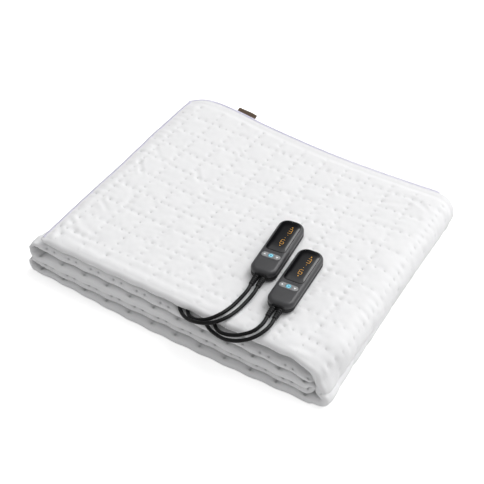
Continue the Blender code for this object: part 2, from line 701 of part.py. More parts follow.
def build_part():
    """Build every piece."""
    clear_scene()
    materials = {
        "cloth": make_material("quilted cloth", (0.83, 0.83, 0.83), 0.95),
        "label": make_material("label weave", (0.12, 0.085, 0.06), 0.85),
        "shell": make_material("satin grey shell", (0.045, 0.045, 0.048), 0.42),
        "black": make_material("black shell", (0.012, 0.012, 0.013), 0.5),
        "lens": make_material("gloss lens", (0.006, 0.006, 0.007), 0.08),
        "key": make_material("grey key", (0.20, 0.21, 0.22), 0.5),
        "cord": make_material("black cord", (0.010, 0.010, 0.011), 0.45),
    }
    build_blanket(materials["cloth"])
    build_label(materials["label"])
    for number, *place in HANDSETS:
        build_handset(number, place, materials)
    build_leads(materials)


build_part()
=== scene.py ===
"""Looks of a folded electric underblanket: quilted cloth, label, two hand controls and their leads.

Everything is in metres in the frame's own axes: +X along the front folds, +Y to the hemmed back
edge, +Z up from the surface the blanket lies on.
"""
import logging
import math
from dataclasses import dataclass, replace
from enum import Enum
from functools import cache, cached_property
from typing import Callable, Sequence

import bmesh
import bpy
import numpy as np
from mathutils import Matrix, Vector


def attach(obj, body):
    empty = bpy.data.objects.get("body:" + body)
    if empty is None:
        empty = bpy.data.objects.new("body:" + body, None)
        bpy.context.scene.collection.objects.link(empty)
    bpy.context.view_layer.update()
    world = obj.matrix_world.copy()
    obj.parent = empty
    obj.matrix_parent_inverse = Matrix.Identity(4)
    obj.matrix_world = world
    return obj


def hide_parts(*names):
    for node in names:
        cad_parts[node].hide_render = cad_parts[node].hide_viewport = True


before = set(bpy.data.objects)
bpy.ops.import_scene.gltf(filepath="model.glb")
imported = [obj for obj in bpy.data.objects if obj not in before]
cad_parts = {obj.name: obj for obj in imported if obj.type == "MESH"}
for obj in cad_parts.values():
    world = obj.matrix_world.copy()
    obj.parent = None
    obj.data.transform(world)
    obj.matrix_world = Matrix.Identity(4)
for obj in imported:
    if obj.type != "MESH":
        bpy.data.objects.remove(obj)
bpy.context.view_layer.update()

log = logging.getLogger("underblanket")

Piece = bpy.types.Object
Material = bpy.types.Material
Tree = bpy.types.NodeTree
Node = bpy.types.Node
Socket = bpy.types.NodeSocket
Point = tuple[float, float, float]
Colour = tuple[float, float, float]
BODY = "folded_blanket"
MM = 0.001
TINY = 1e-6
WHITE = (1.0, 1.0, 1.0, 1.0)


class Side(Enum):
    """Which way a piece lies along X."""

    LEFT = -1
    RIGHT = 1


# --- small mathematics


def smooth_value(places: Sequence[float], values: Sequence[float], at: np.ndarray) -> np.ndarray:
    """Read a smooth curve through given values, level beyond its ends.

    Args:
        places: Rising positions of the values.
        values: The values there.
        at: Where to read the curve.

    Returns:
        The curve's value at each place asked for.
    """
    knots, heights = np.asarray(places, float), np.asarray(values, float)
    at = np.clip(np.asarray(at, float), knots[0], knots[-1])
    slopes = np.gradient(heights, knots)
    i = np.clip(np.searchsorted(knots, at) - 1, 0, len(knots) - 2)
    span = knots[i + 1] - knots[i]
    t = (at - knots[i]) / span
    return ((2 * t**3 - 3 * t**2 + 1) * heights[i] + (t**3 - 2 * t**2 + t) * span * slopes[i]
            + (3 * t**2 - 2 * t**3) * heights[i + 1] + (t**3 - t**2) * span * slopes[i + 1])


def ease(value: np.ndarray, start: float, end: float) -> np.ndarray:
    """Rise smoothly from 0 at start to 1 at end."""
    t = np.clip((value - start) / (end - start), 0.0, 1.0)
    return t * t * (3.0 - 2.0 * t)


def bump(distance: np.ndarray, reach: float) -> np.ndarray:
    """A soft hill: 1 at no distance and nothing beyond about twice its reach."""
    return np.exp(-((distance / reach) ** 2))


def part_way(start: float, end: float, share: float) -> float:
    """The value a share of the way from start to end."""
    return start * (1 - share) + end * share


def through_points(points: Sequence[Point], steps: int = 24) -> np.ndarray:
    """A dense smooth curve through given points.

    Args:
        points: The points, in order.
        steps: How many short pieces each span gets.

    Returns:
        The curve's points, one a row.
    """
    knots = np.asarray(points, float)
    ends = np.vstack([2 * knots[0] - knots[1], knots, 2 * knots[-1] - knots[-2]])
    dense = []
    for before, start, end, after in zip(ends, ends[1:], ends[2:], ends[3:]):
        for t in np.linspace(0.0, 1.0, steps, endpoint=False):
            dense.append(0.5 * (2 * start + (end - before) * t
                                + (2 * before - 5 * start + 4 * end - after) * t**2
                                + (3 * start - before - 3 * end + after) * t**3))
    return np.array(dense + [knots[-1]])


def run_lengths(points: np.ndarray) -> np.ndarray:
    """The distance along a line at each of its points."""
    steps = np.linalg.norm(np.diff(points, axis=0), axis=1)
    return np.concatenate([[0.0], np.cumsum(steps)])


def evenly(points: np.ndarray, spacing: float) -> np.ndarray:
    """The same line with points at an even spacing.

    Args:
        points: A dense line.
        spacing: Distance wanted between points.

    Returns:
        The evenly spaced points, both ends kept.
    """
    along = run_lengths(points)
    count = max(2, round(along[-1] / spacing) + 1)
    at = np.linspace(0.0, along[-1], count)
    return np.column_stack([np.interp(at, along, column) for column in points.T])


def directions(points: np.ndarray) -> np.ndarray:
    """The unit direction of a line at each of its points."""
    ways = np.gradient(points, axis=0)
    return ways / np.linalg.norm(ways, axis=1)[:, None]


class SoftNoise:
    """Smooth repeatable unevenness over a plane, from a seeded table."""

    SIZE = 64

    def __init__(self, seed: int) -> None:
        """Fill the table.

        Args:
            seed: Picks one of many patterns.
        """
        self.table = np.random.default_rng(seed).uniform(-1.0, 1.0, (self.SIZE, self.SIZE))

    def __call__(self, u: np.ndarray, v: np.ndarray) -> np.ndarray:
        """Read the pattern.

        Args:
            u: Places along the pattern's first axis, one unit between lattice points.
            v: Places along its second axis.

        Returns:
            The pattern's values, from -1 to 1.
        """
        i, j = np.floor(u).astype(int), np.floor(v).astype(int)
        s, t = u - i, v - j
        s, t = s * s * (3 - 2 * s), t * t * (3 - 2 * t)
        pick = lambda a, b: self.table[a % self.SIZE, b % self.SIZE]
        low = pick(i, j) * (1 - s) + pick(i + 1, j) * s
        high = pick(i, j + 1) * (1 - s) + pick(i + 1, j + 1) * s
        return low * (1 - t) + high * t


# --- work with operators


def clear_selection() -> None:
    """Deselect everything, in object mode."""
    if bpy.context.object and bpy.context.object.mode != "OBJECT":
        bpy.ops.object.mode_set(mode="OBJECT")
    bpy.ops.object.select_all(action="DESELECT")


def take(piece: Piece) -> None:
    """Make one object the only one selected, and active.

    Args:
        piece: The object.
    """
    clear_selection()
    piece.select_set(True)
    bpy.context.view_layer.objects.active = piece


def linked(name: str, data: bpy.types.ID) -> Piece:
    """A new object for some data, placed in the scene.

    Args:
        name: The object's name.
        data: Its mesh, curve, camera or light.

    Returns:
        The new object.
    """
    made = bpy.data.objects.new(name, data)
    bpy.context.scene.collection.objects.link(made)
    return made


def apply_modifier(piece: Piece, kind: str, **settings: object) -> None:
    """Add a modifier, set it and apply it.

    Args:
        piece: The object that gets it.
        kind: Blender's name for the modifier's type.
        settings: Its settings by name.
    """
    take(piece)
    step = piece.modifiers.new(kind.lower(), kind)
    for name, value in settings.items():
        setattr(step, name, value)
    bpy.ops.object.modifier_apply(modifier=step.name)


def combine(target: Piece, tool: Piece, operation: str) -> None:
    """Join a tool to an object or cut it out, and remove the tool.

    Args:
        target: The object that stays.
        tool: The object that is used up.
        operation: UNION or DIFFERENCE.
    """
    apply_modifier(target, "BOOLEAN", object=tool, operation=operation, solver="EXACT")
    bpy.data.objects.remove(tool, do_unlink=True)


def choose(piece: Piece, kind: str, test: Callable[[Vector, Vector], bool]) -> None:
    """Go to edit mode with only the fitting faces or edges selected.

    Args:
        piece: The mesh object.
        kind: "FACE" or "EDGE".
        test: Told a face's middle and normal, or an edge's middle and direction.
    """
    take(piece)
    bpy.ops.object.mode_set(mode="EDIT")
    bpy.ops.mesh.select_mode(type=kind)
    bpy.ops.mesh.select_all(action="DESELECT")
    mesh = bmesh.from_edit_mesh(piece.data)
    if kind == "FACE":
        for face in mesh.faces:
            face.select_set(test(face.calc_center_median(), face.normal))
    else:
        for edge in mesh.edges:
            ends = edge.verts[0].co, edge.verts[1].co
            edge.select_set(test((ends[0] + ends[1]) / 2, (ends[1] - ends[0]).normalized()))
    mesh.select_flush_mode()
    bmesh.update_edit_mesh(piece.data)


def face_outwards(piece: Piece) -> None:
    """Turn all of a mesh's faces to point out.

    Args:
        piece: The mesh object.
    """
    take(piece)
    bpy.ops.object.mode_set(mode="EDIT")
    bpy.ops.mesh.select_all(action="SELECT")
    bpy.ops.mesh.normals_make_consistent(inside=False)
    bpy.ops.object.mode_set(mode="OBJECT")


def bake_place(piece: Piece) -> Piece:
    """Take the active object's place, turn and scale into its mesh."""
    bpy.ops.object.transform_apply(location=True, rotation=True, scale=True)
    return piece


def plain_block(size: Point, centre: Point) -> Piece:
    """A block of some size round a point.

    Args:
        size: Its width, length and height.
        centre: The point.

    Returns:
        The new object.
    """
    clear_selection()
    bpy.ops.mesh.primitive_cube_add(size=1.0, location=centre)
    bpy.context.object.scale = size
    return bake_place(bpy.context.object)


def rod(sides: int, radius: float, depth: float, place: Point, turn: Point = (0.0, 0.0, 0.0)
        ) -> Piece:
    """An upright cylinder or prism round a point, turned by angles in radians.

    Args:
        sides: How many sides it has.
        radius: Its radius.
        depth: Its height.
        place: The point.
        turn: Its angles.

    Returns:
        The new object.
    """
    clear_selection()
    bpy.ops.mesh.primitive_cylinder_add(vertices=sides, radius=radius, depth=depth,
                                        location=place, rotation=turn)
    return bpy.context.object


def bevel_chosen(width: float, segments: int) -> None:
    """Bevel the selected edges and return to object mode.

    Args:
        width: How far the bevel reaches.
        segments: Its facets.
    """
    bpy.ops.mesh.bevel(offset=width, segments=segments, profile=0.5, affect="EDGES",
                       clamp_overlap=False)
    bpy.ops.object.mode_set(mode="OBJECT")


def rounded_block(size: Point, centre: Point, far: float, near: float | None = None,
                  steps: int = 12) -> Piece:
    """A block whose upright edges are rounded.

    Args:
        size: Its width, length and height.
        centre: Its middle.
        far: Radius of the upright edges towards +Y.
        near: Radius of those towards -Y, the same unless it is given.
        steps: Facets in each quarter turn.

    Returns:
        The new object.
    """
    block = plain_block(size, centre)
    for way, radius in ((1, far), (-1, near or far)):
        choose(block, "EDGE", lambda middle, run: abs(run.z) > 0.9
               and way * (middle.y - centre[1]) > 0.499 * size[1])
        bevel_chosen(radius, steps)
    return block


def soften_rim(block: Piece, height: float, width: float, steps: int) -> None:
    """Round the edges all round a block at one height.

    Args:
        block: The object.
        height: Z of the rim.
        width: How far the rounding reaches.
        steps: Its facets.
    """
    choose(block, "EDGE", lambda middle, way: abs(middle.z - height) < TINY * 10)
    bevel_chosen(width, steps)


def pulled_out(sections: Sequence[tuple[float, float, float]], sides: int,
               squareness: float) -> Piece:
    """A closed form pulled out along -Y from a rounded outline, section by section.

    Args:
        sections: Distance along -Y, half width and half height of each section.
        sides: Points round the outline.
        squareness: 0 for a round outline, towards 1 for a square one.

    Returns:
        The new object.
    """
    clear_selection()
    bpy.ops.mesh.primitive_circle_add(vertices=sides, radius=1.0, fill_type="NGON",
                                      rotation=(math.radians(90), 0.0, 0.0))
    form = bake_place(bpy.context.object)
    for vertex in form.data.vertices:
        square = max(abs(vertex.co.x), abs(vertex.co.z))
        vertex.co *= 1.0 + squareness * (1.0 / square - 1.0) * 0.8
    run, wide, high = sections[0]
    choose(form, "FACE", lambda middle, normal: True)
    bpy.ops.transform.resize(value=(wide, 1.0, high), center_override=(0.0, 0.0, 0.0))
    bpy.ops.transform.translate(value=(0.0, -run, 0.0))
    for next_run, next_wide, next_high in sections[1:]:
        bpy.ops.mesh.extrude_region_move(
            TRANSFORM_OT_translate={"value": (0.0, run - next_run, 0.0)})
        bpy.ops.transform.resize(value=(next_wide / wide, 1.0, next_high / high),
                                 center_override=(0.0, -next_run, 0.0))
        run, wide, high = next_run, next_wide, next_high
    face_outwards(form)
    return form


def settle(piece: Piece, name: str, place: Matrix, smooth: float | None = 35.0) -> Piece:
    """Put a finished piece in its place, with the place kept in its mesh.

    Args:
        piece: The mesh object.
        name: Its final name.
        place: Where it goes in the frame.
        smooth: Sharpest angle in degrees that is shaded smooth, or None to leave it.

    Returns:
        The same object.
    """
    take(piece)
    if smooth is not None:
        bpy.ops.object.shade_smooth_by_angle(angle=math.radians(smooth))
    piece.data.transform(place @ piece.matrix_world)
    piece.matrix_world = Matrix.Identity(4)
    piece.name = piece.data.name = name
    clear_selection()
    return piece


def mesh_piece(name: str, points: np.ndarray, faces: Sequence[Sequence[int]]) -> Piece:
    """A smooth mesh object from points and faces, with its faces pointing out.

    Args:
        name: Its name.
        points: The points, one a row.
        faces: The points of each face by number.

    Returns:
        The new object.
    """
    mesh = bpy.data.meshes.new(name)
    mesh.from_pydata(points.tolist(), [], faces)
    mesh.update()
    piece = linked(name, mesh)
    face_outwards(piece)
    bpy.ops.object.shade_smooth()
    clear_selection()
    return piece


def strand(name: str, points: np.ndarray, radius: float, facets: int) -> Piece:
    """A round strand along a line.

    Args:
        name: Its name.
        points: Its middle line.
        radius: Half its thickness.
        facets: Blender's bevel resolution, which sets how round it is.

    Returns:
        A curve object of one open spline.
    """
    curve = bpy.data.curves.new(name, "CURVE")
    curve.dimensions = "3D"
    curve.bevel_depth = radius
    curve.bevel_resolution = facets
    curve.use_fill_caps = True
    spline = curve.splines.new("POLY")
    spline.points.add(len(points) - 1)
    spline.points.foreach_set("co", np.column_stack([points, np.ones(len(points))]).ravel())
    spline.use_smooth = True
    return linked(name, curve)


# --- shader groups


class Graph:
    """A node tree with short ways to add and join nodes."""

    def __init__(self, tree: Tree) -> None:
        """Keep the tree to work on."""
        self.tree = tree

    def feed(self, node: Node, values: dict[object, object]) -> Node:
        """Set a node's inputs, each to a value or by a link from a socket.

        Args:
            node: The node.
            values: A value or socket for each input, by its name or number.

        Returns:
            The same node.
        """
        for slot, value in values.items():
            if isinstance(value, Socket):
                self.tree.links.new(value, node.inputs[slot])
            else:
                node.inputs[slot].default_value = value
        return node

    def add(self, kind: str, values: dict[object, object] | None = None, **settings: object
            ) -> Node:
        """Add a node with its properties by name and its inputs in a dictionary.

        Args:
            kind: Blender's name for the node's type.
            values: What its inputs are fed.
            settings: Its properties by name.

        Returns:
            The new node.
        """
        node = self.tree.nodes.new(kind)
        for name, value in settings.items():
            setattr(node, name, value)
        return self.feed(node, values or {})

    def maths(self, operation: str, first: object, second: object) -> Socket:
        """The output of a Math node on two sockets or numbers."""
        return self.add("ShaderNodeMath", {0: first, 1: second}, operation=operation).outputs[0]

    def blend(self, first: Socket, share: float, second: Socket) -> Socket:
        """A share of the first value with the rest from the second."""
        return self.maths("ADD", self.maths("MULTIPLY", first, share),
                          self.maths("MULTIPLY", second, 1 - share))

    def between(self, value: Socket, low: float, high: float) -> Socket:
        """Spread a value from 0..1 over low..high."""
        return self.add("ShaderNodeMapRange", {"Value": value, "To Min": low, "To Max": high}
                        ).outputs["Result"]

    def mixed(self, share: Socket, first: object, second: object) -> Socket:
        """Blend two colours, each a socket or a colour, by a share.

        Args:
            share: How much of the second colour.
            first: A socket or a colour.
            second: A socket or a colour.

        Returns:
            The blend.
        """
        first, second = (colour if isinstance(colour, Socket) else (*colour, 1.0)
                         for colour in (first, second))
        return self.add("ShaderNodeMix", {0: share, 6: first, 7: second}, data_type="RGBA"
                        ).outputs[2]

    def noise(self, place: Socket, scale: object, **values: float) -> Socket:
        """The value of a noise texture."""
        return self.add("ShaderNodeTexNoise", {"Vector": place, "Scale": scale, **values}
                        ).outputs[0]

    def raised(self, height: Socket, strength: float, distance: float) -> Socket:
        """The normal of a surface raised by a height."""
        return self.add("ShaderNodeBump", {"Height": height, "Strength": strength,
                                           "Distance": distance}).outputs["Normal"]


def open_group(name: str, scales: dict[str, float], outputs: Sequence[str]
               ) -> tuple[Graph, Node, Node]:
    """Start a shader group that several finishes share.

    Args:
        name: Its name.
        scales: Its float inputs, which follow a vector input called Vector.
        outputs: Its float outputs.

    Returns:
        The group's graph, its input node and its output node.
    """
    tree = bpy.data.node_groups.new(name, "ShaderNodeTree")
    tree.interface.new_socket("Vector", in_out="INPUT", socket_type="NodeSocketVector")
    for label, value in scales.items():
        tree.interface.new_socket(label, in_out="INPUT",
                                  socket_type="NodeSocketFloat").default_value = value
    for label in outputs:
        tree.interface.new_socket(label, in_out="OUTPUT", socket_type="NodeSocketFloat")
    graph = Graph(tree)
    return graph, graph.add("NodeGroupInput"), graph.add("NodeGroupOutput")


@cache
def nap_group() -> Tree:
    """Brushed pile: a soft mottle for the colour and a fine fibre height.

    Returns:
        The group.
    """
    graph, start, end = open_group("brushed nap", {"Fibre Scale": 1800.0, "Mottle Scale": 60.0},
                                   ("Tone", "Height"))
    place, scale, broad = start.outputs[:3]
    fibre = graph.noise(place, scale, Detail=3.0, Roughness=0.65, Distortion=0.6)
    tuft = graph.noise(place, graph.maths("MULTIPLY", scale, 0.3), Detail=2.0)
    mottle = graph.noise(place, broad, Detail=2.0, Roughness=0.5)
    height = graph.blend(fibre, 0.45, tuft)
    graph.feed(end, {"Height": height, "Tone": graph.blend(mottle, 0.7, height)})
    return graph.tree


@cache
def grain_group() -> Tree:
    """Moulded grain: fine pits, and a broad handling sheen for the roughness.

    Returns:
        The group.
    """
    graph, start, end = open_group("moulded grain", {"Grain Scale": 3000.0,
                                                     "Handling Scale": 90.0},
                                   ("Handling", "Height"))
    place, scale, broad = start.outputs[:3]
    pits = graph.add("ShaderNodeTexVoronoi", {"Vector": place, "Scale": scale}, feature="F1")
    speck = graph.noise(place, scale, Detail=2.0)
    graph.feed(end, {"Height": graph.blend(pits.outputs["Distance"], 0.6, speck),
                     "Handling": graph.noise(place, broad, Detail=4.0, Roughness=0.6)})
    return graph.tree


# --- finishes


def start_material(name: str) -> tuple[Material, Graph, Node, Socket]:
    """Start a material.

    Args:
        name: Its name.

    Returns:
        The material, its graph, its shader node and the place on the object.
    """
    material = bpy.data.materials.new(name)
    material.use_nodes = True
    graph = Graph(material.node_tree)
    return (material, graph, material.node_tree.nodes["Principled BSDF"],
            graph.add("ShaderNodeTexCoord").outputs["Object"])


@dataclass(frozen=True)
class Textile:
    """A brushed or woven cloth, with painted shade read from a point attribute: darker in the
    hollows of its sewn dots and in the shadow under a layer above.
    """

    name: str
    light: Colour
    dark: Colour
    fibre_scale: float
    mottle_scale: float
    relief: float
    sheen: float
    rib_scale: float = 0.0
    # How much darker the painted shade in dot hollows and under upper layers makes the dark colour.
    sewn_shade: float = 0.62

    def material(self) -> Material:
        """Build the finish.

        Returns:
            The material.
        """
        material, graph, shader, place = start_material(self.name)
        nap = graph.add("ShaderNodeGroup", {"Vector": place, "Fibre Scale": self.fibre_scale,
                                            "Mottle Scale": self.mottle_scale},
                        node_tree=nap_group())
        tone, height = nap.outputs["Tone"], nap.outputs["Height"]
        if self.rib_scale:
            weave = graph.add("ShaderNodeTexWave", {"Vector": place, "Scale": self.rib_scale,
                                                    "Distortion": 0.4},
                              wave_type="BANDS", bands_direction="DIAGONAL")
            height = graph.blend(height, 0.4, weave.outputs[1])
        # Painted shade: a darker copy of the dark colour, mixed in where the point attribute marks
        # dot hollows and shadow under a layer above.
        dent_shade = graph.add("ShaderNodeAttribute", attribute_name="dent_shade").outputs["Fac"]
        sewn = tuple(channel * self.sewn_shade for channel in self.dark)
        graph.feed(shader, {
            "Base Color": graph.mixed(dent_shade, graph.mixed(tone, self.dark, self.light), sewn),
            "Roughness": graph.between(tone, 0.84, 1.0), "Specular IOR Level": 0.15,
            "Sheen Weight": self.sheen, "Sheen Roughness": 0.45,
            "Normal": graph.raised(height, 0.6, self.relief)})
        return material


@dataclass(frozen=True)
class Moulded:
    """Plastic, rubber, print or plating with a fine grain, plain and where it is handled."""

    name: str
    plain: Colour
    handled: Colour
    smoothest: float
    roughest: float
    grain_scale: float
    relief: float = 0.0
    gloss: float = 0.5
    handling_scale: float = 90.0
    metal: float = 0.0
    glow: float = 0.0

    def material(self) -> Material:
        """Build the finish.

        Returns:
            The material.
        """
        material, graph, shader, place = start_material(self.name)
        grain = graph.add("ShaderNodeGroup", {"Vector": place, "Grain Scale": self.grain_scale,
                                              "Handling Scale": self.handling_scale},
                          node_tree=grain_group())
        handling = grain.outputs["Handling"]
        tint = graph.mixed(handling, self.plain, self.handled)
        graph.feed(shader, {
            "Base Color": tint, "Metallic": self.metal, "Specular IOR Level": self.gloss,
            "Roughness": graph.between(handling, self.smoothest, self.roughest)})
        if self.relief:
            raised = graph.raised(grain.outputs["Height"], 0.35, self.relief)
            graph.feed(shader, {"Normal": raised})
        if self.glow:
            graph.feed(shader, {"Emission Color": tint, "Emission Strength": self.glow})
        return material


def lit_mark(name: str, colour: Colour, glow: float) -> Moulded:
    """A back-lit mark that glows a little, or a print given the same small glow as painted light;
    uneven, as print is.
    """
    faint = tuple(channel * 0.78 for channel in colour)
    return Moulded(name, faint, colour, 0.35, 0.35, 2500.0, handling_scale=700.0, glow=glow)


class Finish(Enum):
    """Every finish of the object."""

    CLOTH = Textile("quilted fleece", (0.86, 0.86, 0.865), (0.79, 0.79, 0.80), 1600.0, 45.0,
                    0.35 * MM, 0.25)
    THREAD = Textile("overlock thread", (0.91, 0.89, 1.00), (0.84, 0.82, 0.97), 2600.0, 300.0,
                     0.15 * MM, 0.2, 900.0)
    LABEL = Textile("woven brown tape", (0.20, 0.145, 0.10), (0.10, 0.07, 0.05), 2200.0, 260.0,
                    0.2 * MM, 0.1, 650.0)
    SHELL = Moulded("satin grey shell", (0.040, 0.040, 0.043), (0.052, 0.052, 0.055), 0.34, 0.46,
                    3200.0, 0.03 * MM)
    BLACK = Moulded("satin black shell", (0.007, 0.007, 0.008), (0.012, 0.012, 0.013), 0.40, 0.56,
                    2600.0, 0.04 * MM, 0.35)
    LENS = Moulded("polished black window", (0.004, 0.004, 0.005), (0.006, 0.006, 0.007),
                   0.10, 0.16, 900.0, 0.002 * MM)
    KEY = Moulded("satin grey key", (0.23, 0.235, 0.24), (0.28, 0.285, 0.29), 0.42, 0.55, 3000.0,
                  0.02 * MM)
    SHEATH = Moulded("smooth black sheath", (0.003, 0.003, 0.0035), (0.006, 0.006, 0.0065),
                     0.24, 0.34, 1400.0, 0.03 * MM, 0.2)
    AMBER = lit_mark("amber display", (0.60, 0.29, 0.04), 0.45)
    BLUE = lit_mark("blue power light", (0.06, 0.36, 0.50), 0.3)
    PALE_BLUE = lit_mark("pale blue ring", (0.40, 0.72, 0.82), 0.35)
    # The white print's glow is painted light: print gives no light.
    WHITE = lit_mark("white print", (0.80, 0.81, 0.82), 0.15)
    PINS = Moulded("plated pins", (0.62, 0.60, 0.55), (0.75, 0.74, 0.70), 0.2, 0.38, 1500.0,
                   handling_scale=300.0, metal=1.0)

    @cached_property
    def material(self) -> Material:
        """The finish's material, built at its first use."""
        return self.value.material()


def dress(piece: Piece, finish: Finish, body: str, slot: str, *nodes: str) -> Piece:
    """Args:
        piece: The finished object.
        finish: Its finish.
        body: The body it moves with.
        slot: Not used.
        nodes: The nodes it stands for, if any.

    Returns:
        The same object.
    """
    piece.data.materials.clear()
    piece.data.materials.append(finish.material)
    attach(piece, body)
    if nodes:
        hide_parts(*nodes)
    return piece


# --- studio


@dataclass
class Studio:
    """Camera, floor and soft light."""

    azimuth: float = 31.816
    elevation: float = 42.208
    target: Point = (0.01983, -0.04898, 0.060)
    distance: float = 1.52688
    lens: float = 78.81
    sensor: float = 36.0
    clip_start: float = 0.05
    floor_size: float = 30.0
    floor_glow: float = 0.60
    sky: float = 0.482
    # Patches of sky: the way to each, where it fades in and fills, and what it adds.
    patches: Sequence[tuple[Point, float, float, float]] = (
        ((-0.53, 0.60, 0.60), 0.900, 0.968, -0.46), ((-0.12, 0.52, 0.85), 0.930, 0.990, 1.3),
        ((0.19, 0.70, 0.69), 0.962, 0.986, 4.2))
    # Lamps: the name, place, size and power of each.
    lamps: Sequence[tuple[str, Point, float, float]] = (
        ("key light", (1.8, 1.8, 4.4), 3.0, 102.0), ("rim light", (2.2, 2.1, 1.35), 1.2, 12.0))

    def place_camera(self) -> None:
        """Stand the camera at its angle, aimed at the target."""
        turn, rise = math.radians(self.azimuth), math.radians(self.elevation)
        back = Vector((math.sin(turn) * math.cos(rise), -math.cos(turn) * math.cos(rise),
                       math.sin(rise)))
        data = bpy.data.cameras.new("camera")
        data.lens = self.lens
        data.sensor_width = self.sensor
        data.sensor_fit = "HORIZONTAL"
        data.clip_start = self.clip_start
        camera = linked("camera", data)
        camera.location = Vector(self.target) + back * self.distance
        camera.rotation_euler = back.to_track_quat("Z", "Y").to_euler()
        bpy.context.scene.camera = camera

    def lay_floor(self) -> None:
        """A plain pale floor."""
        clear_selection()
        bpy.ops.mesh.primitive_plane_add(size=self.floor_size, location=(0.0, 0.0, 0.0))
        floor = settle(bpy.context.object, "floor", Matrix.Identity(4), None)
        material, graph, shader, place = start_material("pale floor")
        cloud = graph.noise(place, 3.0, Detail=2.0)
        seen = graph.add("ShaderNodeLightPath").outputs["Is Camera Ray"]
        graph.feed(shader, {
            "Base Color": graph.mixed(cloud, (0.76, 0.76, 0.76), (0.78, 0.78, 0.78)),
            "Roughness": 0.9, "Specular IOR Level": 0.1, "Emission Color": WHITE,
            "Emission Strength": graph.maths("MULTIPLY", seen, self.floor_glow)})
        floor.data.materials.append(material)

    def hang_lamps(self) -> None:
        """A large soft key and a low rim light at the back right, both facing the object."""
        for name, place, size, power in self.lamps:
            data = bpy.data.lights.new(name, "AREA")
            data.size = size
            data.energy = power
            lamp = linked(name, data)
            lamp.location = place
            lamp.rotation_euler = Vector(place).to_track_quat("Z", "Y").to_euler()

    def spread_sky(self) -> None:
        """A pale uneven sky: the glossy windows mirror a dim patch of it beside bright ones."""
        world = bpy.data.worlds.new("sky")
        world.use_nodes = True
        graph = Graph(world.node_tree)
        look = graph.add("ShaderNodeTexCoord").outputs["Generated"]
        total: object = self.sky
        for way, fades_in, fills, change in self.patches:
            aim = graph.add("ShaderNodeVectorMath", {0: look, 1: way}, operation="DOT_PRODUCT")
            patch = graph.add("ShaderNodeMapRange", {
                "Value": aim.outputs["Value"], "From Min": fades_in, "From Max": fills,
                "To Min": 0.0, "To Max": change}, interpolation_type="SMOOTHSTEP")
            total = graph.maths("ADD", patch.outputs["Result"], total)
        graph.feed(world.node_tree.nodes["Background"], {"Color": WHITE, "Strength": total})
        bpy.context.scene.world = world
        bpy.context.scene.view_settings.view_transform = "Standard"

    def build(self) -> None:
        """Set up the whole studio."""
        self.place_camera()
        self.lay_floor()
        self.hang_lamps()
        self.spread_sky()
        log.info("studio: camera, floor and lights")


# --- the leads


@dataclass(frozen=True)
class HandsetPlace:
    """Where a hand control lies."""

    number: str
    x: float
    y: float
    underside: float
    turn: float

    def matrix(self) -> Matrix:
        """Its place in the frame."""
        return (Matrix.Translation((self.x, self.y, self.underside))
                @ Matrix.Rotation(math.radians(self.turn), 4, "Z"))


@dataclass(frozen=True)
class HandsetSizes:
    """Sizes that the hand controls and their leads share."""

    length: float = 0.116
    width: float = 0.0385
    height: float = 0.0172
    far_corner: float = 0.0150
    near_corner: float = 0.0125
    parting: float = 0.0080
    clear: float = 0.0003
    lens_length: float = 0.0670
    lens_width: float = 0.0300
    lens_far_corner: float = 0.0110
    lens_near_corner: float = 0.0062
    lens_y: float = 0.0205
    lens_seat: float = 0.0010
    lens_proud: float = 0.0014
    pill_length: float = 0.0280
    pill_width: float = 0.0094
    pill_y: float = -0.0245
    key_gap: float = 0.00035
    power_key: float = 0.0086
    key_proud: float = 0.0006
    key_travel: float = 0.0008
    key_thick: float = 0.0030
    boot_length: float = 0.0190
    boot_wide: float = 0.0086
    boot_narrow: float = 0.0070
    boot_ribs: int = 5
    boot_spread: float = 0.0050
    boot_height: float = 0.0070
    # How far the boot's last collar reaches past its length, in steps of its ribs.
    boot_tip: float = 0.55
    rail: float = 0.0016
    mark_thick: float = 0.00008
    mark_lift: float = 0.00003

    @property
    def boot_steps(self) -> int:
        """Collars and grooves along a boot."""
        return 2 * self.boot_ribs + 1


SIZES = HandsetSizes()
PLACES = (HandsetPlace("1", 0.0855, -0.0593, 0.0765, 6.0),
          HandsetPlace("2", 0.1368, -0.0985, 0.0765, 4.5))


@dataclass
class Lead:
    """A lead from a hand control: it runs into the fold and ends in the cloth or in a plug."""

    name: str
    handset: HandsetPlace
    side: Side
    route: Sequence[Point]
    diameter: float = 0.0053
    spacing: float = 0.004
    exit_run: float = 0.012
    exit_droop: float = 0.10

    def boot_end(self, run: float) -> Point:
        """The point at a distance beyond the boot that the lead leaves by.

        Args:
            run: The distance.

        Returns:
            The point in the frame.
        """
        s = SIZES
        start = -s.length / 2 - 2 * s.clear - s.boot_length * (1 + s.boot_tip / s.boot_steps)
        local = Vector((self.side.value * s.boot_spread, start - run,
                        s.boot_height - self.exit_droop * run))
        return tuple(self.handset.matrix() @ local)

    def points(self) -> np.ndarray:
        """The lead's middle line."""
        ends = [self.boot_end(0.0), self.boot_end(self.exit_run)]
        return evenly(through_points(ends + list(self.route)), self.spacing)

    def lay(self, points: np.ndarray, *nodes: str, **ending: object) -> None:
        """Args:
            points: The middle line.
            nodes: The nodes that it stands for beside its own.
        """
        piece = strand(self.name + "_sheath", points, self.diameter / 2, 4)
        dress(piece, Finish.SHEATH, BODY, "cord", self.name, *nodes)

    def build(self) -> None:
        """Make the lead that ends in the cloth."""
        self.lay(self.points(), far_end="object", lay="loose")


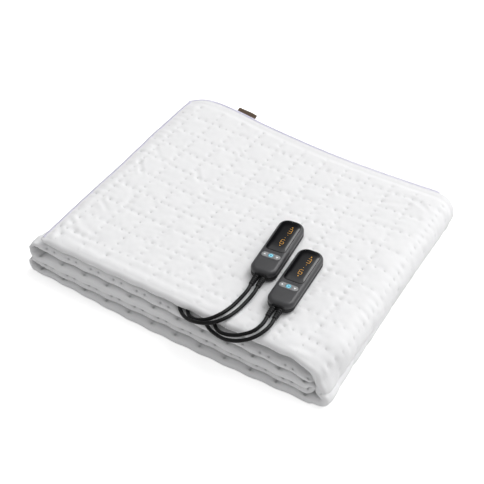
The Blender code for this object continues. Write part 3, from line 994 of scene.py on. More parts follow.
@dataclass
class MainsLead(Lead):
    """A lead wound into a flat coil of two layers, with a plug on its end."""

    coil: Point = (0.0, 0.0, 0.0)
    tail: Sequence[Point] = ()
    plug: Point = (0.0, 0.0, 0.0)
    plug_way: Side = Side.LEFT
    turns: int = 4
    pitch: float = 0.00535
    inner: float = 0.0235
    turn_points: int = 40
    coil_gap: float = 0.0001
    # Where along the coil it climbs to its upper layer, in shares of its length.
    climb: tuple[float, float] = (0.47, 0.53)
    plug_width: float = 0.0340
    plug_thick: float = 0.0120
    plug_relief: float = 0.0120
    plug_body: float = 0.0310
    pin_length: float = 0.0170
    pin_width: float = 0.0040
    pin_spread: float = 0.0095
    pin_root: float = 0.002

    def coil_points(self, start: np.ndarray, end: np.ndarray) -> np.ndarray:
        """Turns from the outside in on the lower level, then out again on the upper one.

        Args:
            start: Where the lead meets the coil.
            end: Where the tail leaves it.

        Returns:
            The coil's middle line.
        """
        centre = np.array(self.coil)
        first, last = (math.atan2(*(spot - centre)[1::-1]) for spot in (start, end))
        outer = self.inner + (self.turns - 1) * self.pitch
        low = centre[2] + self.diameter / 2 + self.coil_gap
        full = 2 * math.pi
        sweep = full * (2 * self.turns - 1) + (first - last) % full
        count = int(self.turn_points * sweep / full)
        share = np.arange(1, count) / count
        angle = first - sweep * share
        radius = outer - (outer - self.inner) * np.minimum(share, 1.0 - share) * 2.0
        return np.column_stack([centre[0] + radius * np.cos(angle),
                                centre[1] + radius * np.sin(angle),
                                low + self.diameter * ease(share, *self.climb)])

    def build_plug(self) -> list[Piece]:
        """Make the flat two-pin plug, lying on its side.

        Returns:
            Its body and its pins.
        """
        half, thick = self.plug_width / 2, self.plug_thick / 2
        shoulder, end = self.plug_relief, self.plug_relief + self.plug_body
        sections = [(0.0003, 0.0040, 0.0036)]
        for rib in range(3):
            run = 0.0022 + rib * 0.0034
            sections += [(run, 0.0042 + rib * 0.0004, 0.0038), (run + 0.0004, 0.0034, 0.0032),
                         (run + 0.0012, 0.0036, 0.0034), (run + 0.0016, 0.0046, 0.0041)]
        sections += [(shoulder, 0.0055, 0.0045), (shoulder + 0.004, 0.0130, 0.0056),
                     (shoulder + 0.009, half - 0.0008, thick - 0.0002),
                     (shoulder + 0.014, half, thick), (end - 0.004, half, thick),
                     (end - 0.001, half - 0.0008, thick - 0.0006),
                     (end, half - 0.0025, thick - 0.0022)]
        number = self.handset.number
        place = (Matrix.Translation(self.plug)
                 @ Matrix.Rotation(math.radians(90.0 * self.plug_way.value), 4, "Z"))
        body = settle(pulled_out(sections, 32, 0.6), "plug_body_" + number, place, 30.0)
        made = [dress(body, Finish.BLACK, BODY, "black", "plug_" + number)]
        for side in Side:
            pin = rod(20, self.pin_width / 2, self.pin_length + self.pin_root,
                      (side.value * self.pin_spread,
                       -end - (self.pin_length - self.pin_root) / 2, 0.0),
                      (math.radians(90), 0.0, 0.0))
            apply_modifier(pin, "BEVEL", width=0.0007, segments=3, limit_method="ANGLE")
            settle(pin, "plug_pin_" + side.name.lower() + "_" + number, place)
            made.append(dress(pin, Finish.PINS, BODY, "black"))
        return made

    def build(self) -> None:
        """Make the lead with its coil, its tail and its plug."""
        run, number = self.points(), self.handset.number
        tail = evenly(through_points(self.tail), self.spacing)
        path = np.vstack([run, self.coil_points(run[-1], tail[0]), tail])
        self.lay(path, "coil_" + number, "plug_tail_" + number, far_end="plug", lay="coiled",
                 with_pieces=self.build_plug())


def make_leads() -> list[Lead]:
    """The four leads with their routes after the straight start at the boot.

    Returns:
        The leads, which aren't built yet.
    """
    first, second = PLACES
    return [
        MainsLead("mains_lead_1", first, Side.LEFT, (
            (0.0882, -0.1655, 0.0797), (0.0860, -0.1815, 0.0783), (0.0820, -0.1970, 0.0780),
            (0.0752, -0.2090, 0.0762), (0.0645, -0.2155, 0.0713), (0.0504, -0.2165, 0.0655),
            (0.0365, -0.2105, 0.0598), (0.0272, -0.1995, 0.0569), (0.0225, -0.1840, 0.0562),
            (0.0230, -0.1600, 0.0560), (0.0275, -0.1250, 0.0558), (0.0340, -0.0850, 0.0556),
            (0.0405, -0.0400, 0.0553), (0.0460, 0.0050, 0.0551), (0.0535, 0.0460, 0.0549),
            (0.0635, 0.0660, 0.0547), (0.0740, 0.0820, 0.0547), (0.0793, 0.0980, 0.0547)),
            coil=(0.1250, 0.1000, 0.0520), plug=(0.1465, 0.0385, 0.0582), plug_way=Side.LEFT,
            tail=((0.1696, 0.0920, 0.0600), (0.1688, 0.0800, 0.0598), (0.1685, 0.0690, 0.0594),
                  (0.1680, 0.0570, 0.0589), (0.1647, 0.0480, 0.0585), (0.1580, 0.0413, 0.0583),
                  (0.1472, 0.0385, 0.0582))),
        Lead("blanket_lead_1", first, Side.RIGHT, (
            (0.0985, -0.1650, 0.0797), (0.0962, -0.1825, 0.0783), (0.0915, -0.2000, 0.0780),
            (0.0835, -0.2130, 0.0766), (0.0710, -0.2212, 0.0737), (0.0560, -0.2230, 0.0692),
            (0.0405, -0.2195, 0.0632), (0.0268, -0.2120, 0.0586), (0.0152, -0.2015, 0.0568),
            (0.0090, -0.1860, 0.0565), (0.0075, -0.1620, 0.0565), (0.0100, -0.1220, 0.0564),
            (0.0160, -0.0720, 0.0561), (0.0240, -0.0200, 0.0558), (0.0320, 0.0300, 0.0556),
            (0.0385, 0.0800, 0.0554), (0.0430, 0.1250, 0.0553))),
        MainsLead("mains_lead_2", second, Side.RIGHT, (
            (0.1450, -0.2045, 0.0803), (0.1375, -0.2165, 0.0780), (0.1275, -0.2232, 0.0743),
            (0.1155, -0.2260, 0.0697), (0.1015, -0.2255, 0.0648), (0.0865, -0.2210, 0.0603),
            (0.0712, -0.2145, 0.0574), (0.0590, -0.2050, 0.0563), (0.0510, -0.1910, 0.0558),
            (0.0480, -0.1720, 0.0556), (0.0505, -0.1490, 0.0555), (0.0570, -0.1230, 0.0553),
            (0.0660, -0.0990, 0.0550), (0.0755, -0.0790, 0.0548), (0.0796, -0.0680, 0.0547)),
            coil=(0.1250, -0.0650, 0.0520), plug=(0.1035, -0.0040, 0.0582),
            plug_way=Side.RIGHT,
            tail=((0.0802, -0.0572, 0.0600), (0.0811, -0.0450, 0.0598), (0.0815, -0.0340, 0.0594),
                  (0.0822, -0.0215, 0.0589), (0.0860, -0.0122, 0.0585), (0.0925, -0.0065, 0.0583),
                  (0.1028, -0.0040, 0.0582))),
        Lead("blanket_lead_2", second, Side.LEFT, (
            (0.1350, -0.2035, 0.0800), (0.1265, -0.2130, 0.0772), (0.1145, -0.2180, 0.0722),
            (0.0995, -0.2180, 0.0655), (0.0860, -0.2135, 0.0595), (0.0745, -0.2055, 0.0566),
            (0.0655, -0.1940, 0.0556), (0.0620, -0.1790, 0.0553), (0.0650, -0.1630, 0.0550),
            (0.0760, -0.1510, 0.0548), (0.0960, -0.1440, 0.0542), (0.1250, -0.1420, 0.0535),
            (0.1530, -0.1370, 0.0528), (0.1770, -0.1200, 0.0520), (0.1900, -0.0940, 0.0516),
            (0.1945, -0.0600, 0.0514), (0.1955, -0.0150, 0.0513), (0.1950, 0.0350, 0.0513),
            (0.1930, 0.0800, 0.0514), (0.1900, 0.1150, 0.0515))),
    ]


# --- the cloth


@dataclass(frozen=True)
class Layer:
    """One layer of the folded cloth, as values read across the blanket."""

    under: tuple[float, ...]
    thick: tuple[float, ...]
    front: tuple[float, ...]
    back: tuple[float, ...]


@dataclass(frozen=True)
class Crease:
    """A soft pull wrinkle in the top layer, from one point to another."""

    start: tuple[float, float]
    end: tuple[float, float]
    depth: float
    width: float


@dataclass
class Station:
    """One cross-section of the cloth along its length."""

    x: float
    z: float
    half: float
    front: float
    back: float
    column: float
    layer: str
    fine: bool
    loop: float = 0.0

    @property
    def on_top(self) -> bool:
        """Whether the quilting's rows are bent here, as they are where they show best."""
        return self.layer in ("top", "fold")


@dataclass(frozen=True)
class FrontDots:
    """Sewn dots that show on a covered layer's front edge."""

    phases: tuple[float, ...]
    angle: float
    spread: float = 1.0


# How a layer's middle moves where it thins towards its loop, in shares of what it loses.
LOOP_LIFT = {"second": 0.9, "third": -0.3, "fourth": 0.9, "bottom": 0.4}
# Dots on the covered layers' front edges: pairs on second and fourth, and one wide hollow per
# square just under the layer above on third and bottom. Each also gets painted shade, the wide ones
# as painted shadow.
FRONT_DOTS = {
    "second": FrontDots((0.0, -1 / 3), 34.0, 1.25), "third": FrontDots((0.42,), -76.0, 1.5),
    "fourth": FrontDots((-0.08, -0.41), 32.0, 1.25), "bottom": FrontDots((0.36,), -76.0, 1.5)}
LEVEL_X = (-0.24, -0.05, 0.02, 0.12, 0.22)
EDGE_X = (-0.24, -0.19, -0.08, 0.04, 0.14, 0.24)
LOWER_THICK = (0.0126, 0.0126, 0.0120, 0.0112, 0.0104)
LAYERS = {
    "bottom": Layer((0.0,) * 5, LOWER_THICK,
                    (-0.2160, -0.2172, -0.2178, -0.2183, -0.2172, -0.2145),
                    (0.2110, 0.2105, 0.2090, 0.2065, 0.2050, 0.2030)),
    "fourth": Layer((0.0148, 0.0148, 0.0144, 0.0134, 0.0122), LOWER_THICK,
                    (-0.2085, -0.2100, -0.2108, -0.2104, -0.2112, -0.2100),
                    (0.2040, 0.2060, 0.2070, 0.2035, 0.1990, 0.1970)),
    "third": Layer((0.0296, 0.0296, 0.0287, 0.0268, 0.0244), LOWER_THICK,
                   (-0.2130, -0.2140, -0.2146, -0.2138, -0.2146, -0.2130),
                   (0.2090, 0.2080, 0.2055, 0.2025, 0.2005, 0.1995)),
    "second": Layer((0.0444, 0.0444, 0.0427, 0.0402, 0.0366),
                    (0.0126, 0.0126, 0.0101, 0.0099, 0.0102),
                    (-0.2060, -0.2068, -0.2074, -0.2080, -0.2094, -0.2088),
                    (0.2040, 0.2060, 0.2025, 0.1960, 0.1935, 0.1960)),
    "top": Layer((0.0592, 0.0592, 0.0602, 0.0602, 0.0600), (0.0126,) * 5,
                 (-0.2030, -0.2050, -0.2048, -0.2060, -0.2082, -0.2086),
                 (0.2085, 0.2120, 0.1990, 0.1875, 0.1870, 0.1910)),
}


@dataclass(frozen=True)
class Surface:
    """How high or deep the cloth's surface goes over its layers, and how far each form reaches.

    Heights and reaches are in metres. A line is a distance in from an edge and its reach, a
    fade is the two distances between which something fades.
    """

    puff: float = 0.0018
    # The share of the puff that swells between the sewn lines, and how near them it starts.
    swell: float = 0.22
    line_reach: float = 0.0070
    stitch: float = 0.0013
    stitch_reach: float = 0.0016
    stitch_pull: float = 0.0005
    pull_reach: float = 0.0044
    # Painted shade in the hollow of each sewn dot on the upper faces: its strength and reach.
    stitch_shade: float = 0.75
    shade_reach: float = 0.0013
    # How unevenly the stitches are pulled, how much less beside the right fold, and where.
    uneven: float = 0.45
    slack: float = 0.35
    slack_columns: tuple[float, float] = (10.2, 11.0)
    tuft: float = 0.00058
    tuft_reach: float = 0.009
    speckle: float = 0.00020
    sag: float = 0.00034
    # Where the quilting fades out: inward from the front, the back and the bound edge.
    front_fade: tuple[float, float] = (0.003, 0.015)
    back_fade: tuple[float, float] = (0.013, 0.022)
    bound_fade: float = 0.014
    hem: float = 0.00045
    hem_line: tuple[float, float] = (0.0125, 0.0009)
    ripple: float = 0.00035
    ripple_reach: float = 0.026
    gather: float = 0.0006
    gather_line: tuple[float, float] = (0.008, 0.013)
    nose_wave: float = 0.0009
    nose_swell: float = 0.0007
    nose_ridge: float = 0.0009
    # The ridge across from the dots: its angle from the front in degrees, and its reach.
    ridge_angle: tuple[float, float] = (38.0, 26.0)
    nose_dot: float = 0.0022
    dot_reach: float = 0.0017
    nose_pull: float = 0.0006
    nose_pull_reach: float = 0.0045
    # Painted shade at the front edges' dots, and painted shadow in the wide hollows under the layer
    # above: its strength and reach.
    dot_shade: float = 1.4
    dot_shade_reach: float = 0.0016
    loop_wrinkle: float = 0.0008
    wrinkle_pitch: float = 0.0078
    # Pull wrinkles: the height of the low banks beside them and how far past their ends they go.
    crease_bank: float = 0.45
    crease_beyond: float = 0.008


SURFACE = Surface()


@dataclass
class Blanket:
    """The quilted cloth, doubled along its front edge and folded into five layers."""

    # The quilting: its squares, where its first lines lie and how finely a square is divided.
    cell: float = 0.040
    first_column: float = -0.2012
    first_row: float = -0.1685
    fine: int = 18
    # Where the straight runs end at each fold, and the two free ends.
    upper_loop: float = -0.2320
    lower_loop: float = -0.2370
    inner_fold: float = 0.2180
    outer_fold: float = 0.2220
    second_end: float = 0.2325
    top_end: float = -0.2300
    # How far the folds' corners draw in, and how deep the rounded front edges are.
    corner: float = 0.007
    nose: float = 0.008
    # The hem: how far from the back it starts, how deep its slit is, the slit's upper and lower
    # side, and how thin a ply may get.
    hem: float = 0.0040
    seam_depth: float = 0.016
    lip_upper: float = 0.0016
    lip_lower: float = -0.0004
    least_ply: float = 0.0008
    # How much the top layer rises over the pocket and is hollow below.
    crown: float = 0.0010
    hollow: float = 0.0040
    # Steps between the covered layers' sections: the widest, the narrowest, those at a dot.
    coarse_step: float = 0.0060
    least_step: float = 0.0008
    dot_steps: Sequence[float] = (-0.0024, -0.0012, 0.0, 0.0012, 0.0024)
    # The left folds and the foot below them: how far their corners draw in, how far the
    # layers thin towards them and by what share, and how far they bulge out.
    loop_corner: float = 0.0030
    foot_corner: float = 0.0050
    foot_reach: float = 0.200
    foot_slack: float = 0.30
    loop_slack: float = 0.48
    loop_reach: float = 0.034
    loop_out: float = 0.0030
    # How far the finely divided rim beside each left fold reaches.
    rim: float = 0.010
    # How much of its thickness the hidden end keeps at its first stations.
    end_thins: Sequence[float] = (0.45, 0.72, 0.92)
    # The outer fold: how far its corner draws in, how much fuller it is, how far it leads
    # straight in and out, and its line from the bottom layer up to the top one.
    fold_corner: float = 0.0025
    fold_body: float = 0.0020
    fold_lead: float = 0.012
    fold_line: Sequence[tuple[float, float]] = (
        (0.2345, 0.0066), (0.2402, 0.0108), (0.2410, 0.0172), (0.2340, 0.0230), (0.2404, 0.0292),
        (0.2430, 0.0400), (0.2424, 0.0495), (0.2385, 0.0585), (0.2310, 0.0643))
    # How far the folds' ends stray in X, front to back.
    drift_y: Sequence[float] = (-0.205, -0.185, -0.160, -0.080, 0.000, 0.090, 0.150)
    bound_drift: Sequence[float] = (3.6, 2.6, 1.4, -1.2, -2.8, -6.7, -7.7)
    loop_drift: Sequence[float] = (-1.5, 3.0, 6.5, 8.0, 8.0, 8.0, 8.0)
    foot_drift: Sequence[float] = (5.0, 3.5, 1.5, -1.0, -4.0, -6.0, -6.5)
    # The thin bound edge: how far it stays flat, where it is full and how it grows between;
    # how high it lies, its half thickness, where its thread is centred, and over how far the
    # thread climbs onto the hem.
    bound_flat: float = 0.0035
    bound_full: float = 0.021
    bound_curve: float = 0.8
    bound_lift: float = 0.0010
    bound_half: float = 0.0017
    bound_middle: float = 0.0026
    bound_fade: float = 0.02
    # Reach along X and depth of the top layer's rounded left corners.
    front_rounding: tuple[float, float] = (0.012, 0.005)
    back_rounding: tuple[float, float] = (0.036, 0.022)
    # The wrapped thread: its radius, pitch and drawn steps, how far out it goes, half its
    # height and what that gains on the hem, how far it sits above the edge's middle, and how
    # far in from the back.
    thread: float = 0.00058
    wrap_pitch: float = 0.0019
    wrap_step: float = 0.00024
    wrap_out: float = 0.0026
    wrap_half: float = 0.0022
    wrap_grow: float = 0.0004
    wrap_up: float = 0.0008
    wrap_in: float = 0.0008
    # Where the foot of the outer fold fades upwards and starts across.
    foot_z: tuple[float, float] = (0.016, 0.034)
    foot_x: tuple[float, float] = (0.185, 0.235)
    # How far the front right corner of the pack falls in and down, and the spans in which the
    # fall fades to the back and starts upwards and across.
    fall_in: float = 0.011
    fall_down: float = 0.008
    fall_y: tuple[float, float] = (-0.208, -0.150)
    fall_z: tuple[float, float] = (0.022, 0.056)
    fall_in_x: tuple[float, float] = (0.165, 0.240)
    fall_down_x: tuple[float, float] = (0.185, 0.240)
    # Where the pocket's share of the top layer starts and ends across, and front to back.
    pocket_left: tuple[float, float] = (0.035, 0.062)
    pocket_right: tuple[float, float] = (0.205, 0.228)
    pocket_front: tuple[float, float] = (-0.165, -0.120)
    pocket_back: tuple[float, float] = (0.160, 0.188)
    # How far the sewn rows wander from straight, front to back, at places across.
    bend_x: Sequence[float] = (-0.205, -0.120, -0.040, 0.040, 0.120, 0.200, 0.240)
    bend_rows: Sequence[float] = (0.0, 2.0, 4.0, 6.0, 8.0)
    bends: Sequence[Sequence[float]] = (
        (0.0, -1.5, 0.0, -1.5, -1.5, -4.5, -7.0), (6.0, -0.5, -1.2, 1.8, 0.0, -1.0, -2.5),
        (7.0, -1.5, -4.0, -0.6, 0.0, 0.0, 0.0), (5.5, -3.0, -5.5, -5.0, -2.0, 3.5, 6.0),
        (7.0, 2.5, -2.0, -8.0, -4.0, -0.5, 2.0))
    sways: Sequence[Sequence[float]] = (
        (-2.0, 0.5, 1.0, 1.0, 1.0, 2.0, 3.0), (-2.5, 0.0, 1.5, 1.5, 1.5, 1.0, 2.0),
        (-4.0, 0.0, 2.5, 2.0, 1.5, 0.0, 0.0), (-5.0, -1.0, 4.0, 3.5, 2.0, -1.5, -3.0),
        (-4.0, -1.5, 1.0, 1.5, -2.0, -5.0, -5.0))
    creases: Sequence[Crease] = (
        Crease((-0.206, -0.166), (-0.166, -0.171), 0.0007, 0.0040),
        Crease((-0.212, -0.150), (-0.188, -0.170), 0.0006, 0.0036),
        Crease((-0.214, -0.172), (-0.196, -0.192), 0.0006, 0.0040),
        Crease((-0.192, -0.146), (-0.160, -0.162), 0.0004, 0.0050),
        Crease((-0.206, 0.014), (-0.190, -0.004), 0.0009, 0.0032),
        Crease((-0.209, 0.060), (-0.196, 0.048), 0.0007, 0.0030),
        Crease((-0.121, 0.044), (-0.104, 0.027), 0.0008, 0.0032),
        Crease((-0.163, -0.064), (-0.161, -0.084), 0.0009, 0.0050),
        Crease((-0.200, -0.092), (-0.182, -0.104), 0.0007, 0.0034),
        Crease((-0.090, 0.118), (-0.074, 0.106), 0.0006, 0.0030),
        Crease((0.016, -0.128), (0.032, -0.142), 0.0006, 0.0034),
        Crease((-0.166, -0.184), (0.060, -0.187), 0.0006, 0.0052),
        Crease((0.150, 0.118), (0.176, 0.128), 0.0006, 0.0036),
        Crease((0.196, 0.150), (0.226, 0.140), 0.0008, 0.0040),
        Crease((0.186, -0.196), (0.216, -0.190), 0.0008, 0.0042))

    def __post_init__(self) -> None:
        """Set out the unevenness that the whole cloth shares."""
        self.broad, self.middle, self.fine_noise, self.pucker = (
            SoftNoise(seed) for seed in (11, 23, 37, 51))

    # --- stations

    def level(self, layer: str, x: float) -> tuple[float, float]:
        """Middle height and half thickness of a layer at x."""
        thick = float(smooth_value(LEVEL_X, LAYERS[layer].thick, x))
        return float(smooth_value(LEVEL_X, LAYERS[layer].under, x)) + thick / 2, thick / 2

    def edges(self, layer: str, x: float) -> tuple[float, float]:
        """Front and back edge of a layer at x."""
        return (float(smooth_value(EDGE_X, LAYERS[layer].front, x)),
                float(smooth_value(EDGE_X, LAYERS[layer].back, x)))

    def straight(self, layer: str, places: Sequence[float], fine: bool) -> list[Station]:
        """Stations of one layer at places across the blanket.

        Args:
            layer: The layer.
            places: Where the stations are.
            fine: Whether their upper face is finely divided.

        Returns:
            A station for each place.
        """
        made = []
        end = self.upper_loop if layer in ("second", "third") else self.lower_loop
        for x in places:
            z, half = self.level(layer, x)
            front, back = self.edges(layer, x)
            loop = 0.0 if layer == "top" else 1.0 - float(ease(x, end, end + self.loop_reach))
            lost = half * self.loop_slack * loop
            z += lost * LOOP_LIFT.get(layer, 0.0)
            half -= lost
            if layer == "bottom":
                foot = 1.0 - float(ease(x, end, end + self.foot_reach))
                front += self.foot_corner * foot
                rest = (half - lost) * self.foot_slack * foot * (1.0 - loop)
                z += rest
                half -= rest
            made.append(Station(x, z, half, front, back, (x - self.first_column) / self.cell,
                                layer, fine, loop))
        return made

    def covered(self, layer: str, start: float, end: float) -> list[Station]:
        """Stations of a covered layer, close together at its front edge's dots.

        Args:
            layer: The layer.
            start: First place across.
            end: Last place across.

        Returns:
            The stations from start to end.
        """
        low, high = min(start, end), max(start, end)
        spots = [low, high] + [
            self.first_column + (square + phase) * self.cell + step for square in range(-2, 13)
            for phase in FRONT_DOTS[layer].phases for step in self.dot_steps]
        kept = [low]
        for spot in sorted(spots):
            before, gap = kept[-1], spot - kept[-1]
            if spot <= high and gap >= self.least_step:
                pieces = math.ceil(gap / self.coarse_step)
                kept += [before + gap * piece / pieces for piece in range(1, pieces + 1)]
        kept[-1] = high
        return self.straight(layer, kept if start < end else kept[::-1], False)

    def half_turn(self, x: float, upper: str, lower: str, side: Side, fine: bool,
                  steps: int) -> list[Station]:
        """Stations round the fold that joins two layers.

        Args:
            x: Where both straight runs end.
            upper: The layer above.
            lower: The layer below.
            side: Which way the fold bulges.
            fine: Whether its outside is finely divided.
            steps: Its divisions.

        Returns:
            The stations, from the upper layer to the lower one.
        """
        top, low = self.straight(upper, [x], fine)[0], self.straight(lower, [x], fine)[0]
        centre, radius = (top.z + low.z) / 2, (top.z - low.z) / 2
        left = side is Side.LEFT
        corner = self.loop_corner if left else self.corner
        out = side.value * radius * (1.0 + (self.loop_out / radius if left else 0.0))
        made = []
        for step in range(1, steps):
            share = step / steps
            angle = math.pi * (0.5 - share)
            bulge = math.cos(angle)
            made.append(Station(
                x + out * bulge, centre + radius * math.sin(angle),
                part_way(top.half, low.half, share),
                part_way(top.front, low.front, share) + corner * bulge**2,
                part_way(top.back, low.back, share) - self.corner * bulge**2,
                (x - self.first_column + side.value * math.pi * radius * share) / self.cell,
                upper if share < 0.5 else lower, fine, 1.0 if left else 0.0))
        return made

    def outer_turn(self, start_x: float) -> list[Station]:
        """Stations up the outer fold at the fine spacing.

        Args:
            start_x: Where the top layer starts.

        Returns:
            The stations, from the bottom layer to the top one.
        """
        steps, spacing = 24, self.cell / self.fine
        fold_x, lead_x = self.outer_fold - self.fold_lead, start_x - self.fold_lead
        low, high = self.level("bottom", self.outer_fold), self.level("top", start_x)
        low_edges, high_edges = self.edges("bottom", self.outer_fold), self.edges("top", start_x)
        points = [(fold_x, self.level("bottom", fold_x)[0]), (self.outer_fold, low[0]),
                  *self.fold_line, (start_x, high[0]), (lead_x, self.level("top", lead_x)[0])]
        dense = through_points(points, steps)[steps:-steps]
        along = run_lengths(dense)
        made = []
        for i in range(int(along[-1] / spacing), 0, -1):
            at = along[-1] - i * spacing
            x, z = (float(np.interp(at, along, line)) for line in dense.T)
            share = at / along[-1]
            reach = math.sin(math.pi * share)
            made.append(Station(
                x - self.fold_body * reach, z,
                part_way(low[1], high[1], share) + self.fold_body * reach,
                part_way(low_edges[0], high_edges[0], share) + self.fold_corner * reach,
                part_way(low_edges[1], high_edges[1], share) - self.corner * reach,
                (start_x - self.first_column) / self.cell + i / self.fine, "fold", True))
        return made

    @staticmethod
    def rounding(inward: float, reach: float, depth: float) -> float:
        """How far a rounded corner draws an edge in, at a distance inward from its end."""
        near = min(1.0, max(0.0, 1.0 - inward / reach))
        return depth * (1.0 - math.sqrt(1.0 - near * near))

    def top_run(self) -> list[Station]:
        """Stations of the top layer, on the quilting's own divisions, to the thin bound edge.

        Returns:
            The stations, from right to left.
        """
        step = self.cell / self.fine
        first = int((self.outer_fold - self.first_column) / step)
        last = math.ceil((self.top_end - self.first_column) / step)
        made = self.straight("top", [self.first_column + step * k
                                     for k in range(first, last - 1, -1)], True)
        for station in made:
            inward = station.x - self.top_end
            thin = float(ease(inward, self.bound_flat, self.bound_full)) ** self.bound_curve
            station.z += (1 - thin) * self.bound_lift
            station.half = part_way(self.bound_half, station.half, thin)
            station.front += self.rounding(inward, *self.front_rounding)
            station.back -= self.rounding(inward, *self.back_rounding)
        return made

    def stations(self) -> list[Station]:
        """All stations along the cloth, from its hidden end to the bound edge on top.

        Returns:
            The stations in order.
        """
        upper_rim, lower_rim = self.upper_loop + self.rim, self.lower_loop + self.rim
        steps = np.arange(1, 5) / 4 * self.rim
        made = self.covered("second", self.second_end, upper_rim)
        for station, thin in zip(made, self.end_thins):
            station.half *= thin
            station.front += self.corner * (1 - thin)
            station.back -= self.corner * (1 - thin)
        made += self.straight("second", upper_rim - steps, True)
        made += self.half_turn(self.upper_loop, "second", "third", Side.LEFT, True, 14)
        made += self.straight("third", self.upper_loop + steps - self.rim / 4, True)
        made += self.covered("third", upper_rim, self.inner_fold)
        made += self.half_turn(self.inner_fold, "third", "fourth", Side.RIGHT, False, 8)
        made += self.covered("fourth", self.inner_fold, lower_rim)
        made += self.straight("fourth", lower_rim - steps, True)
        made += self.half_turn(self.lower_loop, "fourth", "bottom", Side.LEFT, True, 14)
        made += self.straight("bottom", self.lower_loop + steps - self.rim / 4, True)
        made += self.covered("bottom", lower_rim, self.outer_fold)
        top = self.top_run()
        return made + self.outer_turn(top[0].x) + top

    # --- cross-sections

    def wander(self, table: Sequence[Sequence[float]], x: float, row: np.ndarray) -> np.ndarray:
        """Read a table of shifts in millimetres at x for each row coordinate."""
        across = [float(smooth_value(self.bend_x, line, x)) for line in table]
        return smooth_value(self.bend_rows, across, row) * MM

    def section(self, station: Station) -> dict[str, np.ndarray]:
        """One cross-section as a closed ring, from the bottom of the front fold round the top.

        Args:
            station: Where the section is.

        Returns:
            Arrays by name: u orders the ring, y and height place it, row is the quilting's
            coordinate, face tells the ring's stretches apart.
        """
        half, front, back = station.half, station.front, station.back
        nose_y = front + self.nose
        turn = np.radians(np.linspace(-90.0, 90.0, 17)[:-1])
        blunt = np.sign(np.sin(turn)) * np.abs(np.sin(turn)) ** 0.85
        pieces = [(turn / math.pi + 0.5, front + self.nose * (1 - np.cos(turn) ** 0.9),
                   half * blunt)]
        if station.fine:
            rows = np.arange(-0.5 * self.fine, 8 * self.fine + 1) / self.fine
            wide = self.first_row + self.cell * rows
            if station.on_top:
                wide = wide + self.wander(self.bends, station.x, rows)
            keep = (wide > nose_y + 0.0012) & (wide < back - 0.020)
            wide = wide[keep]
            y = np.concatenate([np.linspace(nose_y, wide[0], 5)[:-1], wide,
                                np.linspace(wide[-1], back - self.hem, 17)[1:]])
            share = np.concatenate([np.linspace(0.0, 0.02, 5)[:-1],
                                    0.02 + 0.86 * (np.arange(len(rows)) / (len(rows) - 1))[keep],
                                    np.linspace(0.88, 1.0, 17)[1:]])
        else:
            y = np.concatenate([np.linspace(nose_y, nose_y + 0.020, 4)[:-1],
                                np.linspace(nose_y + 0.020, back - 0.024, 4)[:-1],
                                np.linspace(back - 0.024, back - self.hem, 4)])
            share = (y - y[0]) / (y[-1] - y[0])
        pieces.append((1.0 + share[:-1], y[:-1], np.full(len(y) - 1, half)))
        # The hem: round the upper ply's rim, into the slit and out round the lower ply's rim.
        lip = min(self.lip_upper, half - self.least_ply)
        low = max(self.lip_lower, self.least_ply - half)
        rim_top, rim_low = (half + lip) / 2, (low - half) / 2
        inset, heights = np.array((
            (self.hem, half), (0.0018, half * 0.98), (0.0005, half * 0.9), (0.0, rim_top),
            (0.0005, rim_top * 0.45 + lip * 0.55), (0.0022, lip), (0.008, lip * 0.8 + low * 0.2),
            (self.seam_depth, (lip + low) / 2), (0.008, lip * 0.2 + low * 0.8), (0.0022, low),
            (0.0005, rim_low * 0.45 + low * 0.55), (0.0, rim_low), (0.0005, -half * 0.9),
            (0.0018, -half * 0.98))).T
        pieces.append((2.0 + np.arange(len(inset)) / len(inset), back - inset, heights))
        count = 14 if station.loop > 0.0 else 8
        under = np.linspace(back - self.hem, nose_y, count + 1)[:-1]
        pieces.append((3.0 + np.arange(count) / count, under, np.full(count, -half)))
        ring = {name: np.concatenate(parts) for name, parts in
                zip(("u", "y", "height"), zip(*pieces))}
        ring["face"] = np.repeat(np.arange(4), [len(piece[0]) for piece in pieces])
        shift = 0.0
        if station.on_top:
            guess = (ring["y"] - self.first_row) / self.cell
            shift = self.wander(self.bends, station.x, guess)
        ring["row"] = (ring["y"] - shift - self.first_row) / self.cell
        return ring

    def drift(self, station: Station, x: np.ndarray, y: np.ndarray, z: np.ndarray) -> np.ndarray:
        """How far points of a section stray in X, as no fold's end is quite straight.

        Args:
            station: Where the section is.
            x: The points' places across.
            y: Their places front to back.
            z: Their heights.

        Returns:
            The shift of each point.
        """
        if station.layer == "top":
            free = 1.0 - ease(x, self.top_end, self.first_column - 0.004)
            return smooth_value(self.drift_y, self.bound_drift, y) * MM * free
        left = smooth_value(self.drift_y, self.loop_drift, y) * MM * station.loop
        if station.layer not in ("bottom", "fold"):
            return left
        low = (1.0 - ease(z, *self.foot_z)) * ease(x, *self.foot_x)
        return left + smooth_value(self.drift_y, self.foot_drift, y) * MM * low

    def corner_fall(self, x: np.ndarray, y: np.ndarray, z: np.ndarray
                    ) -> tuple[np.ndarray, np.ndarray]:
        """How far points near the front right corner fall in and down.

        Args:
            x: The points' places across.
            y: Their places front to back.
            z: Their heights.

        Returns:
            Their shifts in X and in Z.
        """
        near = (1.0 - ease(y, *self.fall_y)) * ease(z, *self.fall_z)
        return (-self.fall_in * near * ease(x, *self.fall_in_x),
                -self.fall_down * near * ease(x, *self.fall_down_x))

    def pocket_share(self, x: float, y: np.ndarray) -> np.ndarray:
        """How fully a point of the top layer lies over the pocket, from 0 to 1."""
        across = float(ease(x, *self.pocket_left) * (1.0 - ease(x, *self.pocket_right)))
        return across * ease(y, *self.pocket_front) * (1.0 - ease(y, *self.pocket_back))

    # --- relief

